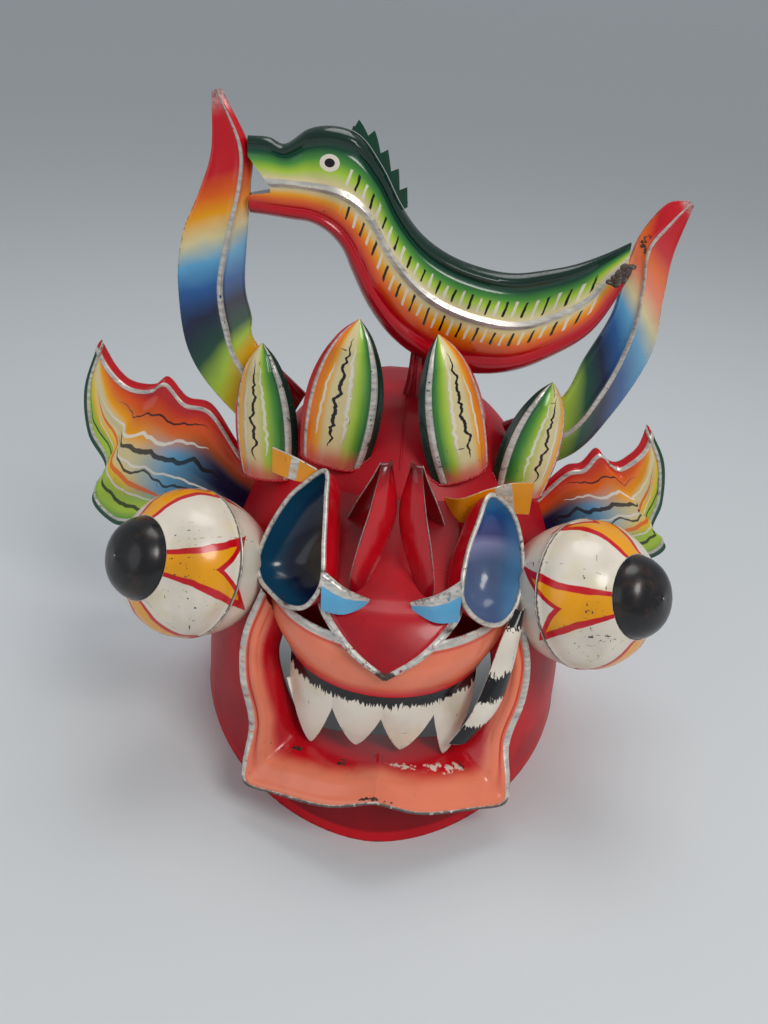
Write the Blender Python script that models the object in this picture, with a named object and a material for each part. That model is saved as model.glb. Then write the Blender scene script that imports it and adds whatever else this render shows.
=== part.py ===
"""Carnival devil mask of painted sheet metal: its pieces as solids, in metres with +Z up.

The mask stands on the rim of its bell, as it does when nobody wears it. Its face looks along -Y,
and +X is the viewer's right. The tables are in millimetres, and MM turns them into metres.
"""
import math
from collections import namedtuple

import bmesh
import bpy
import numpy as np
from mathutils import Vector

MM = 0.001

# Driving dimensions, in millimetres
WALL = 1.2
GAP = 0.3
MIDDLE_X = -11.0
MIDDLE_Y = -61.0
BACK_CUT = ((41, -20), (265, -20), (265, 300), (70, 300))
BEYOND = 250.0
SIDE_REACH = 200.0
FLOOR_DEPTH = 20.0


class Table:
    """Rows of named columns, read anywhere along their first column by a smooth curve."""

    def __init__(self, columns, *rows):
        self.row = namedtuple("Row", columns)
        self.data = np.array(rows, float)
        self.slopes = np.gradient(self.data, self.data[:, 0], axis=0)

    def at(self, place):
        """The row at a place along the first column."""
        keys = self.data[:, 0]
        i = int(np.clip(np.searchsorted(keys, place) - 1, 0, len(keys) - 2))
        step = keys[i + 1] - keys[i]
        t = (place - keys[i]) / step
        start, end = self.data[i], self.data[i + 1]
        pull_start, pull_end = self.slopes[i] * step, self.slopes[i + 1] * step
        rise = t * t * (3 - 2 * t)
        value = start * (1 - rise) + end * rise
        value += pull_start * t * (1 - t) ** 2 - pull_end * t * t * (1 - t)
        return self.row(*value)

    def straight(self, place):
        """The row at a place, with straight runs between the rows."""
        keys = self.data[:, 0]
        return self.row(*(float(np.interp(place, keys, column)) for column in self.data.T))


# The bell, a row for each level from the floor rim to the crown
BELL = Table("at height half_width front middle back power",
             (0.00, -2, 135, 166, 10, 100, 1.80),
             (0.10, 35, 134, 160, 10, 100, 1.80),
             (0.22, 75, 129, 146, 10, 100, 1.85),
             (0.34, 115, 118, 120, 10, 99, 1.90),
             (0.45, 150, 106, 95, 11, 97, 2.00),
             (0.55, 180, 92, 72, 13, 90, 2.00),
             (0.65, 205, 77, 52, 15, 77, 2.00),
             (0.76, 224, 58, 33, 16, 59, 2.00),
             (0.88, 236, 34, 13, 17, 35, 2.00),
             (1.00, 240, 0, -18, 18, 0, 2.00))
BELL_COLUMNS = 36
BELL_ROWS = 11

# The mouth hole through the bell, corner by corner, on the viewer's right
MOUTH_HOLE = ((0, 120), (56, 120), (68, 113), (67, 84), (56, 67), (30, 64), (0, 66))
MOUTH_BACK = -40.0

# The flared collar round the mouth, from the upper end of one side to the middle below
FLARE = Table("at inner_x inner_y inner_z outer_x outer_y outer_z bulge",
              (0.00, 67, -97, 108, 80, -97, 141, 2),
              (0.16, 69, -101, 95, 90, -105, 112, 5),
              (0.34, 65, -107, 79, 90, -117, 85, 7),
              (0.50, 58, -112, 62, 82, -131, 56, 9),
              (0.61, 51, -116, 53, 84, -146, 38, 9),
              (0.68, 45, -118, 50, 83, -151, 29, 9),
              (0.80, 32, -120, 48, 60, -163, 33, 12),
              (0.90, 16, -122, 48, 28, -177, 41, 13),
              (1.00, 0, -123, 49, 0, -185, 55, 12))

# The upper lip, from its silver upper edge to its lower edge
LIP = Table("at height radius centre bulge",
            (0.0, 138, 80, -58.5, 0),
            (0.5, 121, 74, -70.5, 2),
            (1.0, 103.5, 64, -81, 0))
LIP_SPREAD = math.radians(70)

# The toothed strip: a row for each tooth, from its root on one side over its tip to the other
TEETH_FRONT = -143.0
TEETH_ROOT_RADIUS = 62.0
TEETH_TIP_RADIUS = 95.0
TEETH_LOW = 50.0
TEETH_TOP = 112.0
TOOTH_ROOT = 84.0
TOOTH_ROUNDNESS = 1.45
Tooth = namedtuple("Tooth", "start tip end depth")
TEETH = (Tooth(-59, -42, -30, 52), Tooth(-30, -14, 0, 61.5), Tooth(0, 13, 32, 60.5), Tooth(32, 40, 57, 51.5))

# The plane and the rim of a nostril bowl, on the viewer's right
CUP_NORMAL = Vector((0.68, -0.58, 0.45)).normalized()
CUP_TOP = Vector((51, -80, 214))
CUP_RIMS = {
    "left": ((45, 219), (60, 204), (69, 192), (79, 173), (85, 155), (82, 147), (75, 145), (64, 145),
             (53, 150), (46, 158), (41, 170), (42, 187), (43, 206)),
    "right": ((55, 209), (67, 200), (75, 188), (80, 173), (82, 158), (80, 149.5), (77, 144), (71, 141.5),
              (64, 143), (55, 149), (46.5, 158), (41, 169), (43, 186), (49, 199))}
CUP_DEPTH = 27.0
CUP_SIDES = 24
CUP_ROWS = 3

# The nose plate, from its seam on the forehead to its tip
NOSE = Table("at half_width forward height droop",
             (0.00, 36, 62, 191, 8),
             (0.30, 41, 92, 172, 8),
             (0.60, 43, 119, 155, 7),
             (0.75, 40, 133, 148, 6),
             (0.90, 20, 147, 132.5, 2),
             (1.00, 1, 153, 122.8, 0))

# A folded fin of the nose, from its foot over the fold to its tail on the forehead
FIN = Table("at x y z width",
            (0.00, 25, -117, 156, 12),
            (0.10, 25, -117, 166, 17),
            (0.28, 21, -116, 190, 23),
            (0.45, 16, -113, 212, 19),
            (0.57, 12.5, -107, 231, 10),
            (0.64, 12, -101, 236, 8),
            (0.72, 16, -93, 223, 12),
            (0.86, 26, -80, 196, 16),
            (1.00, 35, -66, 167, 16))
FIN_YAW = math.radians(140)

# The brow strips behind the nostril bowls, from the forehead outwards
BROWS = {
    "left": Table("at x y z width",
                  (0.0, 50, -76, 211, 10),
                  (0.5, 64, -74, 214, 16),
                  (1.0, 78, -70, 217, 17)),
    "right": Table("at x y z width",
                   (0.00, 28, -54, 186, 12),
                   (0.25, 38, -67, 190, 17),
                   (0.55, 55, -66, 196, 20),
                   (0.80, 70, -61, 198, 22),
                   (1.00, 84, -57, 197, 23))}

# A nostril flap on the viewer's right, a row from the bowl to its tip on the nose
FLAP = Table("at top_x top_y top_z low_x low_y low_z",
             (0.0, 41, -122, 175, 40, -133, 153.5),
             (0.5, 27, -126, 166, 27, -132.5, 151.5),
             (1.0, 12, -121.5, 156, 14, -124.5, 152.5))

# The black and white tusk, from the cheek down to the lower lip
TUSK = Table("at x y z width",
             (0.00, 77, -104, 145, 6),
             (0.25, 69, -118, 131, 13),
             (0.50, 62, -129, 107, 17),
             (0.75, 54, -138, 86, 19),
             (1.00, 43, -143, 67, 16))
TUSK_YAW = math.radians(25)
STUB = Table("at x y z width",
             (0.0, -62, -113, 84, 6),
             (0.5, -58, -119, 76, 9),
             (1.0, -54, -124, 68, 5))

# An eye: its foot, its pupil's direction and its outline along that axis
EYE_FEET = {"left": Vector((-95, -48, 121)), "right": Vector((91, -48, 121))}
EYE_AXIS = Vector((0.64, -0.62, 0.44)).normalized()
EYE_BACK = Table("at along radius", (0.0, 0, 22), (0.3, 14, 33), (0.65, 32, 42), (1.0, 51, 46.5))
EYE_FRONT = Table("at along radius", (0.0, 51, 46.5), (0.35, 65, 44.5), (0.7, 79, 36), (1.0, 89, 25))
PUPIL = Table("at along radius", (0.0, 89.2, 24.5), (0.3, 95, 22.5), (0.65, 102, 15.5), (1.0, 106, 0))
EYE_SIDES = 16
EYE_ROWS = 3

# The crown leaves: foot, tip, width, turn of the face
Leaf = namedtuple("Leaf", "side place foot tip width turn")
LEAVES = (Leaf("left", "inner", (-44, -46, 204), (-32, -41, 298), 50, -8),
          Leaf("right", "inner", (42, -46, 203), (18, -41, 293), 47, 28),
          Leaf("left", "outer", (-88, -31, 183), (-94, -20, 271), 45, -18),
          Leaf("right", "outer", (80, -31, 184), (94, -20, 260), 45, 20))
LEAF_OUTLINE = Table("at half_width",
                     (0.0, 0.86), (0.2, 0.98), (0.4, 1.0), (0.6, 0.9), (0.8, 0.62), (0.93, 0.3), (1.0, 0.02))
LEAF_BULGE = 9.0

# The horns, a row for each station from the root to the tip, as seen from the front
HORN_COLUMNS = "at left_x left_z ridge_x ridge_z right_x right_z"
HORN_LEFT = Table(HORN_COLUMNS,
                  (0.00, -88, 190, -78, 210, -66, 232),
                  (0.12, -122, 223, -108, 249, -98, 263),
                  (0.26, -143, 256, -117, 275, -102, 282),
                  (0.40, -148, 298, -120, 302, -106, 302),
                  (0.55, -144, 330, -113, 337, -104, 338),
                  (0.70, -133, 356, -107, 362, -102, 362),
                  (0.85, -125, 380, -107, 385, -102, 382),
                  (1.00, -124, 411, -121, 413, -118, 413))
HORN_RIGHT = Table(HORN_COLUMNS,
                   (0.00, 66, 222, 76, 205, 86, 186),
                   (0.12, 100, 240, 109, 220, 117, 204),
                   (0.26, 113, 272, 127, 249, 137, 234),
                   (0.42, 124, 300, 138, 288, 154, 277),
                   (0.58, 127, 322, 139, 320, 154, 313),
                   (0.74, 132, 351, 138, 345, 154, 339),
                   (0.86, 143, 369, 147, 359, 156, 352),
                   (1.00, 156, 373, 158, 372, 160, 370))
HORN_RIDGE = 7.0
HORN_STATIONS = 15
HORN_FACET = 0.45
HORN_EDGE = 0.8
HORN_FULL_WIDTH = 30.0

# The serpent, a row for each station from the snout to the tail, as seen from the front
SERPENT = Table("at top_x top_z ridge_x ridge_z belly_x belly_z half_depth",
                (0.000, -103, 390, -102, 366, -102, 347, 6),
                (0.045, -91, 390, -90, 366, -88, 346, 9),
                (0.090, -82, 387, -79, 366.5, -78, 345, 10),
                (0.145, -68, 396, -66, 366, -66, 344, 11),
                (0.205, -52, 398.5, -52, 364.5, -55, 339, 12),
                (0.265, -38, 394, -40, 360, -46, 330, 12),
                (0.330, -25, 379, -29, 351, -39, 316, 12),
                (0.410, -12, 358, -16, 331, -28, 296, 12),
                (0.490, 2, 342, 0, 314, -12, 277, 12),
                (0.570, 20, 331, 17, 303, 11, 263, 12),
                (0.650, 40, 325, 38, 296, 40, 257, 12),
                (0.730, 58, 323, 61, 293, 66, 260, 11),
                (0.820, 77, 326, 82, 298, 92, 273, 10),
                (0.900, 98, 332, 106, 312, 112, 289, 8),
                (0.960, 115, 340, 118, 328, 122, 306, 5),
                (1.000, 127, 347, 127, 338, 130, 326, 3))
SERPENT_Y = -3.0

# Half of its section: the way down from the top over the ridge at one to the belly, and the depth
SERPENT_SECTION = ((0, 0.1), (0.16, 0.55), (0.55, 0.9), (1, 1.0), (1.5, 0.9), (1.85, 0.55), (2, 0.1))
SERPENT_STATIONS = 24
JAW_NOTCH = ((-104, 381), (-89, 364), (-89, 360.5), (-104, 357.5))
JAW_REACH = 60.0
CREST_START = 0.24
CREST_END = 0.42
CREST_FINS = 5
CREST_HEIGHT = 5.0

# The post that carries the serpent on the crown
STRUT = Table("at height radius", (0.0, 232, 9.5), (0.35, 245, 6.5), (1.0, 272, 4.5))
STRUT_X = 6.0
STRUT_Y = -1.0
STRUT_STATIONS = 4
STRUT_SIDES = 12
STRUT_FLUTE = 0.86
STRUT_FLATNESS = 0.7

# The wing ears, a row for each rib between the lower edge and the upper edge, as seen from the front
EAR_COLUMNS = "at low_x low_z high_x high_z"
EAR_LEFT = Table(EAR_COLUMNS,
                 (0.00, -92, 112, -86, 160),
                 (0.15, -125, 107, -110, 184),
                 (0.30, -160, 109, -131, 216),
                 (0.42, -187, 114, -148, 220),
                 (0.52, -208, 114, -160, 233),
                 (0.60, -221, 132, -168, 227),
                 (0.68, -209, 157, -178, 226),
                 (0.78, -219, 184, -188, 229),
                 (0.88, -219, 216, -196, 238),
                 (1.00, -206, 252, -204, 254))
EAR_RIGHT = Table(EAR_COLUMNS,
                  (0.00, 86, 112, 78, 150),
                  (0.15, 115, 107, 95, 165),
                  (0.30, 145, 111, 115, 190),
                  (0.42, 170, 119, 126, 194),
                  (0.52, 191, 120, 134, 205),
                  (0.60, 199, 130, 141, 198),
                  (0.68, 187, 141, 149, 195),
                  (0.78, 189, 165, 157, 200),
                  (0.88, 184, 195, 163, 208),
                  (1.00, 168, 222, 166, 224))
EAR_Y = 6.0
EAR_SWEEP = 6.0
EAR_DISH = 8.0
EAR_ROWS = 3
EAR_COLUMN_COUNT = 25

# Paint colours as linear red, green and blue, with the roughness
PAINT_ROUGHNESS = 0.35
CRIMSON = (0.42, 0.01, 0.02)
SALMON = (0.85, 0.22, 0.14)
CREAM = (0.8, 0.72, 0.58)
BLACK = (0.01, 0.01, 0.012)
BLUE = (0.04, 0.16, 0.4)
SKY = (0.16, 0.47, 0.75)
YELLOW = (0.85, 0.42, 0.02)
GREEN = (0.24, 0.5, 0.08)
FOREST = (0.01, 0.09, 0.05)
AMBER = (0.8, 0.25, 0.03)


def placed(point):
    """A point of the tables in metres, measured from under the middle of the mask."""
    return Vector((point[0] - MIDDLE_X, point[1] - MIDDLE_Y, point[2])) * MM


def painted(piece, colour):
    """Give a piece its own paint."""
    paint = bpy.data.materials.new(piece.name + "_paint")
    paint.use_nodes = True
    shader = paint.node_tree.nodes["Principled BSDF"]
    shader.inputs["Base Color"].default_value = (*colour, 1)
    shader.inputs["Roughness"].default_value = PAINT_ROUGHNESS
    shader.inputs["Metallic"].default_value = 0.0
    paint.diffuse_color = (*colour, 1)
    piece.data.materials.clear()
    piece.data.materials.append(paint)
    return piece


def add_piece(name, points, faces):
    """A new object from points in the tables' frame."""
    mesh = bpy.data.meshes.new(name)
    mesh.from_pydata([placed(point) for point in points], [], faces)
    shape = bmesh.new()
    shape.from_mesh(mesh)
    bmesh.ops.remove_doubles(shape, verts=shape.verts, dist=0.02 * MM)
    bmesh.ops.triangulate(shape, faces=shape.faces)
    shape.to_mesh(mesh)
    shape.free()
    piece = bpy.data.objects.new(name, mesh)
    bpy.context.collection.objects.link(piece)
    return piece


def settle(piece):
    """Keep what the piece's modifiers make of it as its mesh, and face it outwards."""
    graph = bpy.context.evaluated_depsgraph_get()
    mesh = bpy.data.meshes.new_from_object(piece.evaluated_get(graph))
    piece.modifiers.clear()
    piece.data = mesh
    mesh.name = piece.name
    shape = bmesh.new()
    shape.from_mesh(mesh)
    keep_main_body(shape)
    bmesh.ops.dissolve_degenerate(shape, dist=0.01 * MM, edges=shape.edges)
    bmesh.ops.triangulate(shape, faces=shape.faces)
    bmesh.ops.recalc_face_normals(shape, faces=shape.faces)
    shape.to_mesh(mesh)
    shape.free()
    return piece


def keep_main_body(shape):
    """Drop the offcuts, which are all the bodies but the largest."""
    bodies = []
    left = set(shape.verts)
    while left:
        body = {left.pop()}
        edge_of_body = list(body)
        while edge_of_body:
            vertex = edge_of_body.pop()
            for edge in vertex.link_edges:
                other = edge.other_vert(vertex)
                if other not in body:
                    body.add(other)
                    edge_of_body.append(other)
        left -= body
        bodies.append(body)
    bodies.sort(key=body_size, reverse=True)
    offcuts = [vertex for body in bodies[1:] for vertex in body]
    bmesh.ops.delete(shape, geom=offcuts, context="VERTS")


def body_size(body):
    """The diagonal of the box round some vertices."""
    places = np.array([vertex.co for vertex in body])
    return float(np.linalg.norm(places.max(axis=0) - places.min(axis=0)))


def grid_faces(columns, rows, closed):
    """The faces of a grid of points, row by row, joined round when closed."""
    faces = []
    width = columns if closed else columns + 1
    for row in range(rows):
        for column in range(columns):
            here = row * width + column
            beside = row * width + (column + 1) % width
            faces.append((here, beside, beside + width, here + width))
    return faces


def grid_points(surface, columns, rows, closed):
    """The points of a surface over its two fractions, row by row."""
    width = columns if closed else columns + 1
    return [surface(column / columns, row / rows) for row in range(rows + 1) for column in range(width)]


def sheet(name, surface, columns, rows, closed=False, inwards=-1.0):
    """A wall of sheet metal over a surface of two fractions."""
    piece = add_piece(name, grid_points(surface, columns, rows, closed), grid_faces(columns, rows, closed))
    wall = piece.modifiers.new("wall", "SOLIDIFY")
    wall.thickness = WALL * MM
    wall.offset = inwards
    return settle(piece)


def loft(name, rings):
    """A closed body through rings of points."""
    width = len(rings[0])
    points = [point for ring in rings for point in ring]
    faces = grid_faces(width, len(rings) - 1, True)
    faces.append(tuple(range(width - 1, -1, -1)))
    last = (len(rings) - 1) * width
    faces.append(tuple(last + i for i in range(width)))
    return settle(add_piece(name, points, faces))


def swollen(piece, gap):
    """A cutter that is a copy of a piece, grown by a gap."""
    mesh = piece.data.copy()
    cutter = bpy.data.objects.new("cutter", mesh)
    bpy.context.collection.objects.link(cutter)
    normals = [vertex.normal.copy() for vertex in mesh.vertices]
    for vertex, normal in zip(mesh.vertices, normals):
        vertex.co += normal * gap * MM
    cutter.hide_render = True
    cutter.display_type = "WIRE"
    return cutter


def cut(piece, *cutters):
    """Take cutters away from a piece, and keep its main body."""
    for cutter in cutters:
        away = piece.modifiers.new("cut", "BOOLEAN")
        away.operation = "DIFFERENCE"
        away.solver = "EXACT"
        away.object = cutter
    return settle(piece)


def seat(piece, *neighbours):
    """Trim a piece so that it lies a small gap off its neighbours."""
    cutters = [swollen(neighbour, GAP * 1.3) for neighbour in neighbours]
    cut(piece, *cutters)
    for cutter in cutters:
        bpy.data.objects.remove(cutter)
    return piece


def side_sign(side):
    """The sign of x on a side of the mask, as the viewer sees it."""
    return 1 if side == "right" else -1


def mirrored(point, sign):
    """A point of the viewer's right, on the side that the sign names."""
    return Vector((point[0] * sign, point[1], point[2]))


def bell_point(turn, climb):
    """A point of the bell's outer face, from its turn round the head and its climb to the crown."""
    row = BELL.at(climb)
    angle = 2 * math.pi * turn
    across, ahead = math.sin(angle), math.cos(angle)
    power = 2 / row.power
    x = row.half_width * math.copysign(abs(across) ** power, across)
    if ahead >= 0:
        return (x, row.middle - (row.front + row.middle) * ahead ** power, row.height)
    return (x, row.middle + row.back * abs(ahead), row.height)


def bell_solid():
    """The bell filled up, to trim what is soldered to its outside."""
    rings = []
    for row in range(BELL_ROWS + 1):
        rings.append([bell_point(column / BELL_COLUMNS, row / BELL_ROWS) for column in range(BELL_COLUMNS)])
    return loft("bell_solid", rings)


def prism(name, outline, near, far):
    """A bar along Y over an outline of x and z."""
    return loft(name, [[(x, y, z) for x, z in outline] for y in (near, far)])


def build_shell():
    """The bell with its open back and mouth hole."""
    shell = sheet("shell", bell_point, BELL_COLUMNS, BELL_ROWS, closed=True)
    left = [(-x, z) for x, z in reversed(MOUTH_HOLE[1:-1])]
    mouth = prism("mouth_cutter", list(MOUTH_HOLE) + left, -BEYOND, MOUTH_BACK)
    behind = loft("back_cutter", [[(x, y, z) for y, z in BACK_CUT] for x in (-SIDE_REACH, SIDE_REACH)])
    under = ((-SIDE_REACH, -FLOOR_DEPTH), (SIDE_REACH, -FLOOR_DEPTH), (SIDE_REACH, 0), (-SIDE_REACH, 0))
    floor = prism("floor_cutter", under, -BEYOND, BEYOND)
    cut(shell, mouth, behind, floor)
    for cutter in (mouth, behind, floor):
        bpy.data.objects.remove(cutter)
    return painted(shell, CRIMSON)


def flare_point(turn, out):
    """A point of the mouth collar, from its turn under the mouth and its way out."""
    across = 2 * turn - 1
    row = FLARE.at(1 - abs(across))
    sign = math.copysign(1, across)
    inner = Vector((row.inner_x * sign, row.inner_y, row.inner_z))
    outer = Vector((row.outer_x * sign, row.outer_y, row.outer_z))
    lift = Vector((0, -0.75, 0.66)) * row.bulge * math.sin(math.pi * out)
    return inner.lerp(outer, out) + lift


def lip_point(turn, drop):
    """A point of the upper lip, from its turn round the muzzle and its drop."""
    row = LIP.at(drop)
    angle = LIP_SPREAD * (2 * turn - 1)
    radius = row.radius + row.bulge
    return (radius * math.sin(angle), row.centre - radius * math.cos(angle), row.height)


def tooth_edge(x):
    """The height of the teeth's lower edge: each tooth is rounded at its sides and comes to a point."""
    for tooth in TEETH:
        if tooth.start <= x <= tooth.end:
            side = tooth.start if x < tooth.tip else tooth.end
            share = abs((x - tooth.tip) / (side - tooth.tip))
            return tooth.depth + (TOOTH_ROOT - tooth.depth) * share ** TOOTH_ROUNDNESS
    return TOOTH_ROOT


def teeth_point(turn, drop):
    """A point of the toothed strip."""
    x = TEETH[0].start + (TEETH[-1].end - TEETH[0].start) * turn
    z = TEETH_TOP + (tooth_edge(x) - TEETH_TOP) * drop
    share = (TEETH_TOP - z) / (TEETH_TOP - TEETH_LOW)
    near, far = (TEETH_FRONT + radius - math.sqrt(radius ** 2 - x ** 2)
                 for radius in (TEETH_ROOT_RADIUS, TEETH_TIP_RADIUS))
    return (x, near + (far - near) * share, z)


def closed_curve(corners, place):
    """A smooth closed curve through corners, at a fraction of the way round."""
    count = len(corners)
    along = place * count
    i = int(along) % count
    t = along - int(along)
    a, b, c, d = (np.array(corners[(i + k) % count], float) for k in (-1, 0, 1, 2))
    return b + 0.5 * t * (c - a + t * (2 * a - 5 * b + 4 * c - d + t * (3 * (b - c) + d - a)))


def cup_rim(side, place):
    """A point of a nostril bowl's rim, which lies in one plane."""
    x, z = closed_curve(CUP_RIMS[side], place)
    y = CUP_TOP.y - (CUP_NORMAL.x * (x - CUP_TOP.x) + CUP_NORMAL.z * (z - CUP_TOP.z)) / CUP_NORMAL.y
    return Vector((x, y, z))


def cup_point(side):
    """The surface of a nostril bowl, from its rim to its bottom."""
    rim_points = [cup_rim(side, i / CUP_SIDES) for i in range(CUP_SIDES)]
    centre = sum(rim_points, Vector()) / CUP_SIDES

    def surface(turn, depth):
        angle = depth * math.pi / 2
        spread = math.cos(angle) ** 0.8 if depth < 1 else 0.0
        point = centre + (cup_rim(side, turn) - centre) * spread - CUP_NORMAL * CUP_DEPTH * math.sin(angle)
        return mirrored(point, side_sign(side))
    return surface


def nose_point(turn, drop):
    """A point of the nose plate."""
    row = NOSE.at(drop)
    across = 2 * turn - 1
    return (across * row.half_width, -row.forward + row.droop * across ** 2, row.height)


def ribbon(table, yaw, sign=1, curl=0.0):
    """The surface of a strip whose rows give its edge and its width across a fixed heading."""
    heading = Vector((math.cos(yaw), math.sin(yaw), 0))

    def surface(across, along):
        row = table.at(along)
        hollow = Vector((math.sin(yaw), -math.cos(yaw), 0)) * curl * 4 * across * (1 - across)
        point = Vector((row.x, row.y, row.z)) + heading * row.width * across + hollow
        return mirrored(point, sign)
    return surface


def brow_point(side):
    """The surface of a brow strip."""
    def surface(across, along):
        row = BROWS[side].at(along)
        return mirrored((row.x, row.y, row.z + row.width * (across - 0.5)), side_sign(side))
    return surface


def flap_point(sign):
    """The surface of a nostril flap, from its upper edge down and from the bowl to its tip."""
    def surface(down, along):
        row = FLAP.at(along)
        top, low = Vector((row.top_x, row.top_y, row.top_z)), Vector((row.low_x, row.low_y, row.low_z))
        bulge = Vector((0, -3 * math.sin(math.pi * down) * (1 - along), 0))
        return mirrored(top.lerp(low, down) + bulge, sign)
    return surface


def turned_point(foot, axis, table):
    """A surface turned round an axis."""
    across = axis.cross(Vector((0, 0, 1))).normalized()
    up = across.cross(axis)

    def surface(turn, along):
        row = table.at(along)
        angle = 2 * math.pi * turn
        return foot + axis * row.along + (across * math.cos(angle) + up * math.sin(angle)) * row.radius
    return surface


def leaf_point(leaf):
    """The surface of a crown leaf, from its foot to its tip."""
    foot, tip = Vector(leaf.foot), Vector(leaf.tip)
    turn = math.radians(leaf.turn)
    axis = (tip - foot).normalized()
    level = Vector((math.cos(turn), math.sin(turn), 0))
    level = (level - axis * level.dot(axis)).normalized()
    face = level.cross(axis)

    def surface(across, along):
        u = 2 * across - 1
        half = leaf.width / 2 * LEAF_OUTLINE.at(along).half_width
        bulge = LEAF_BULGE * (1 - abs(u) ** 2.6) * min(1.0, half / (leaf.width * 0.3))
        return foot.lerp(tip, along) + level * half * u + face * (bulge - LEAF_BULGE / 2)
    return surface


def horn_ring(table, place):
    """A section of a horn: a leaf with a ridge down its front and its back."""
    row = table.at(place)
    left = Vector((row.left_x, 0, row.left_z))
    ridge = Vector((row.ridge_x, 0, row.ridge_z))
    right = Vector((row.right_x, 0, row.right_z))
    rise = Vector((0, HORN_RIDGE * min(1.0, (right - left).length / HORN_FULL_WIDTH), 0))
    edge = Vector((0, HORN_EDGE, 0))
    left_facet, right_facet = left.lerp(ridge, 0.5), ridge.lerp(right, 0.5)
    facet = rise * HORN_FACET
    return [left - edge, left_facet - facet, ridge - rise, right_facet - facet, right - edge,
            right + edge, right_facet + facet, ridge + rise, left_facet + facet, left + edge]


def serpent_ring(place):
    """A section of the serpent: two pressed halves that meet in a thin edge above and below."""
    row = SERPENT.at(place)
    top = Vector((row.top_x, SERPENT_Y, row.top_z))
    ridge = Vector((row.ridge_x, SERPENT_Y, row.ridge_z))
    belly = Vector((row.belly_x, SERPENT_Y, row.belly_z))
    half = []
    for down, depth in SERPENT_SECTION:
        point = top.lerp(ridge, down) if down < 1 else ridge.lerp(belly, down - 1)
        half.append((point, Vector((0, depth * row.half_depth, 0))))
    front = [point - rise for point, rise in half]
    behind = [point + rise for point, rise in reversed(half)]
    return front + behind


def build_serpent():
    """The serpent's body with the gap between its jaws."""
    rings = [serpent_ring(i / SERPENT_STATIONS) for i in range(SERPENT_STATIONS + 1)]
    body = loft("serpent_body", rings)
    notch = prism("jaw_cutter", JAW_NOTCH, -JAW_REACH, JAW_REACH)
    cut(body, notch)
    bpy.data.objects.remove(notch)
    return painted(body, GREEN)


def crest_point(along, up):
    """A point of the crest strip, which rises into fins like saw teeth."""
    place = CREST_START + (CREST_END - CREST_START) * along
    row = SERPENT.at(place)
    before, after = SERPENT.at(place - 0.01), SERPENT.at(place + 0.01)
    run = Vector((after.top_x - before.top_x, 0, after.top_z - before.top_z)).normalized()
    out = Vector((-run.z, 0, run.x))
    tooth = along * CREST_FINS % 1
    fin = CREST_HEIGHT * (1 - tooth) if 0.02 < along < 0.98 else 0
    return Vector((row.top_x, SERPENT_Y, row.top_z)) + out * (GAP + 0.2 + (2.5 + fin) * up)


def build_crest():
    """The row of fins behind the serpent's head."""
    columns = CREST_FINS * 4
    crest = sheet("serpent_crest", crest_point, columns, 1, inwards=0.0)
    return painted(crest, FOREST)


def build_strut():
    """The post under the serpent."""
    rings = []
    for step in range(STRUT_STATIONS + 1):
        row = STRUT.at(step / STRUT_STATIONS)
        ring = []
        for i in range(STRUT_SIDES):
            angle = 2 * math.pi * i / STRUT_SIDES
            radius = row.radius * (1.0 if i % 2 else STRUT_FLUTE)
            across, ahead = radius * math.cos(angle), STRUT_FLATNESS * radius * math.sin(angle)
            ring.append((STRUT_X + across, STRUT_Y + ahead, row.height))
        rings.append(ring)
    return painted(loft("serpent_strut", rings), CRIMSON)


def ear_point(table):
    """The surface of an ear, from its root outwards and from its lower to its upper edge."""
    def surface(out, up):
        row = table.at(out)
        x = row.low_x + (row.high_x - row.low_x) * up
        z = row.low_z + (row.high_z - row.low_z) * up
        return (x, EAR_Y + EAR_SWEEP * out - EAR_DISH * math.sin(math.pi * up) * (1 - out * out), z)
    return surface


def build_eyes(bell, flare, cups):
    """Both eyes: a back cone on the cheek, a front bowl and a pupil cap."""
    pieces = []
    for side in ("left", "right"):
        sign = side_sign(side)
        foot, axis = EYE_FEET[side], mirrored(EYE_AXIS, sign)
        seam = axis * GAP
        bowls = []
        for name, place, outline in (("eye_back_", foot, EYE_BACK), ("eye_front_", foot + seam, EYE_FRONT),
                                     ("pupil_", foot + seam * 2, PUPIL)):
            surface = turned_point(place, axis, outline)
            bowls.append(sheet(name + side, surface, EYE_SIDES, EYE_ROWS, closed=True))
        back, front, pupil = bowls
        seat(back, bell, flare, cups[side])
        pieces += [painted(back, CREAM), painted(front, CREAM), painted(pupil, BLACK)]
    return pieces


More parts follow.
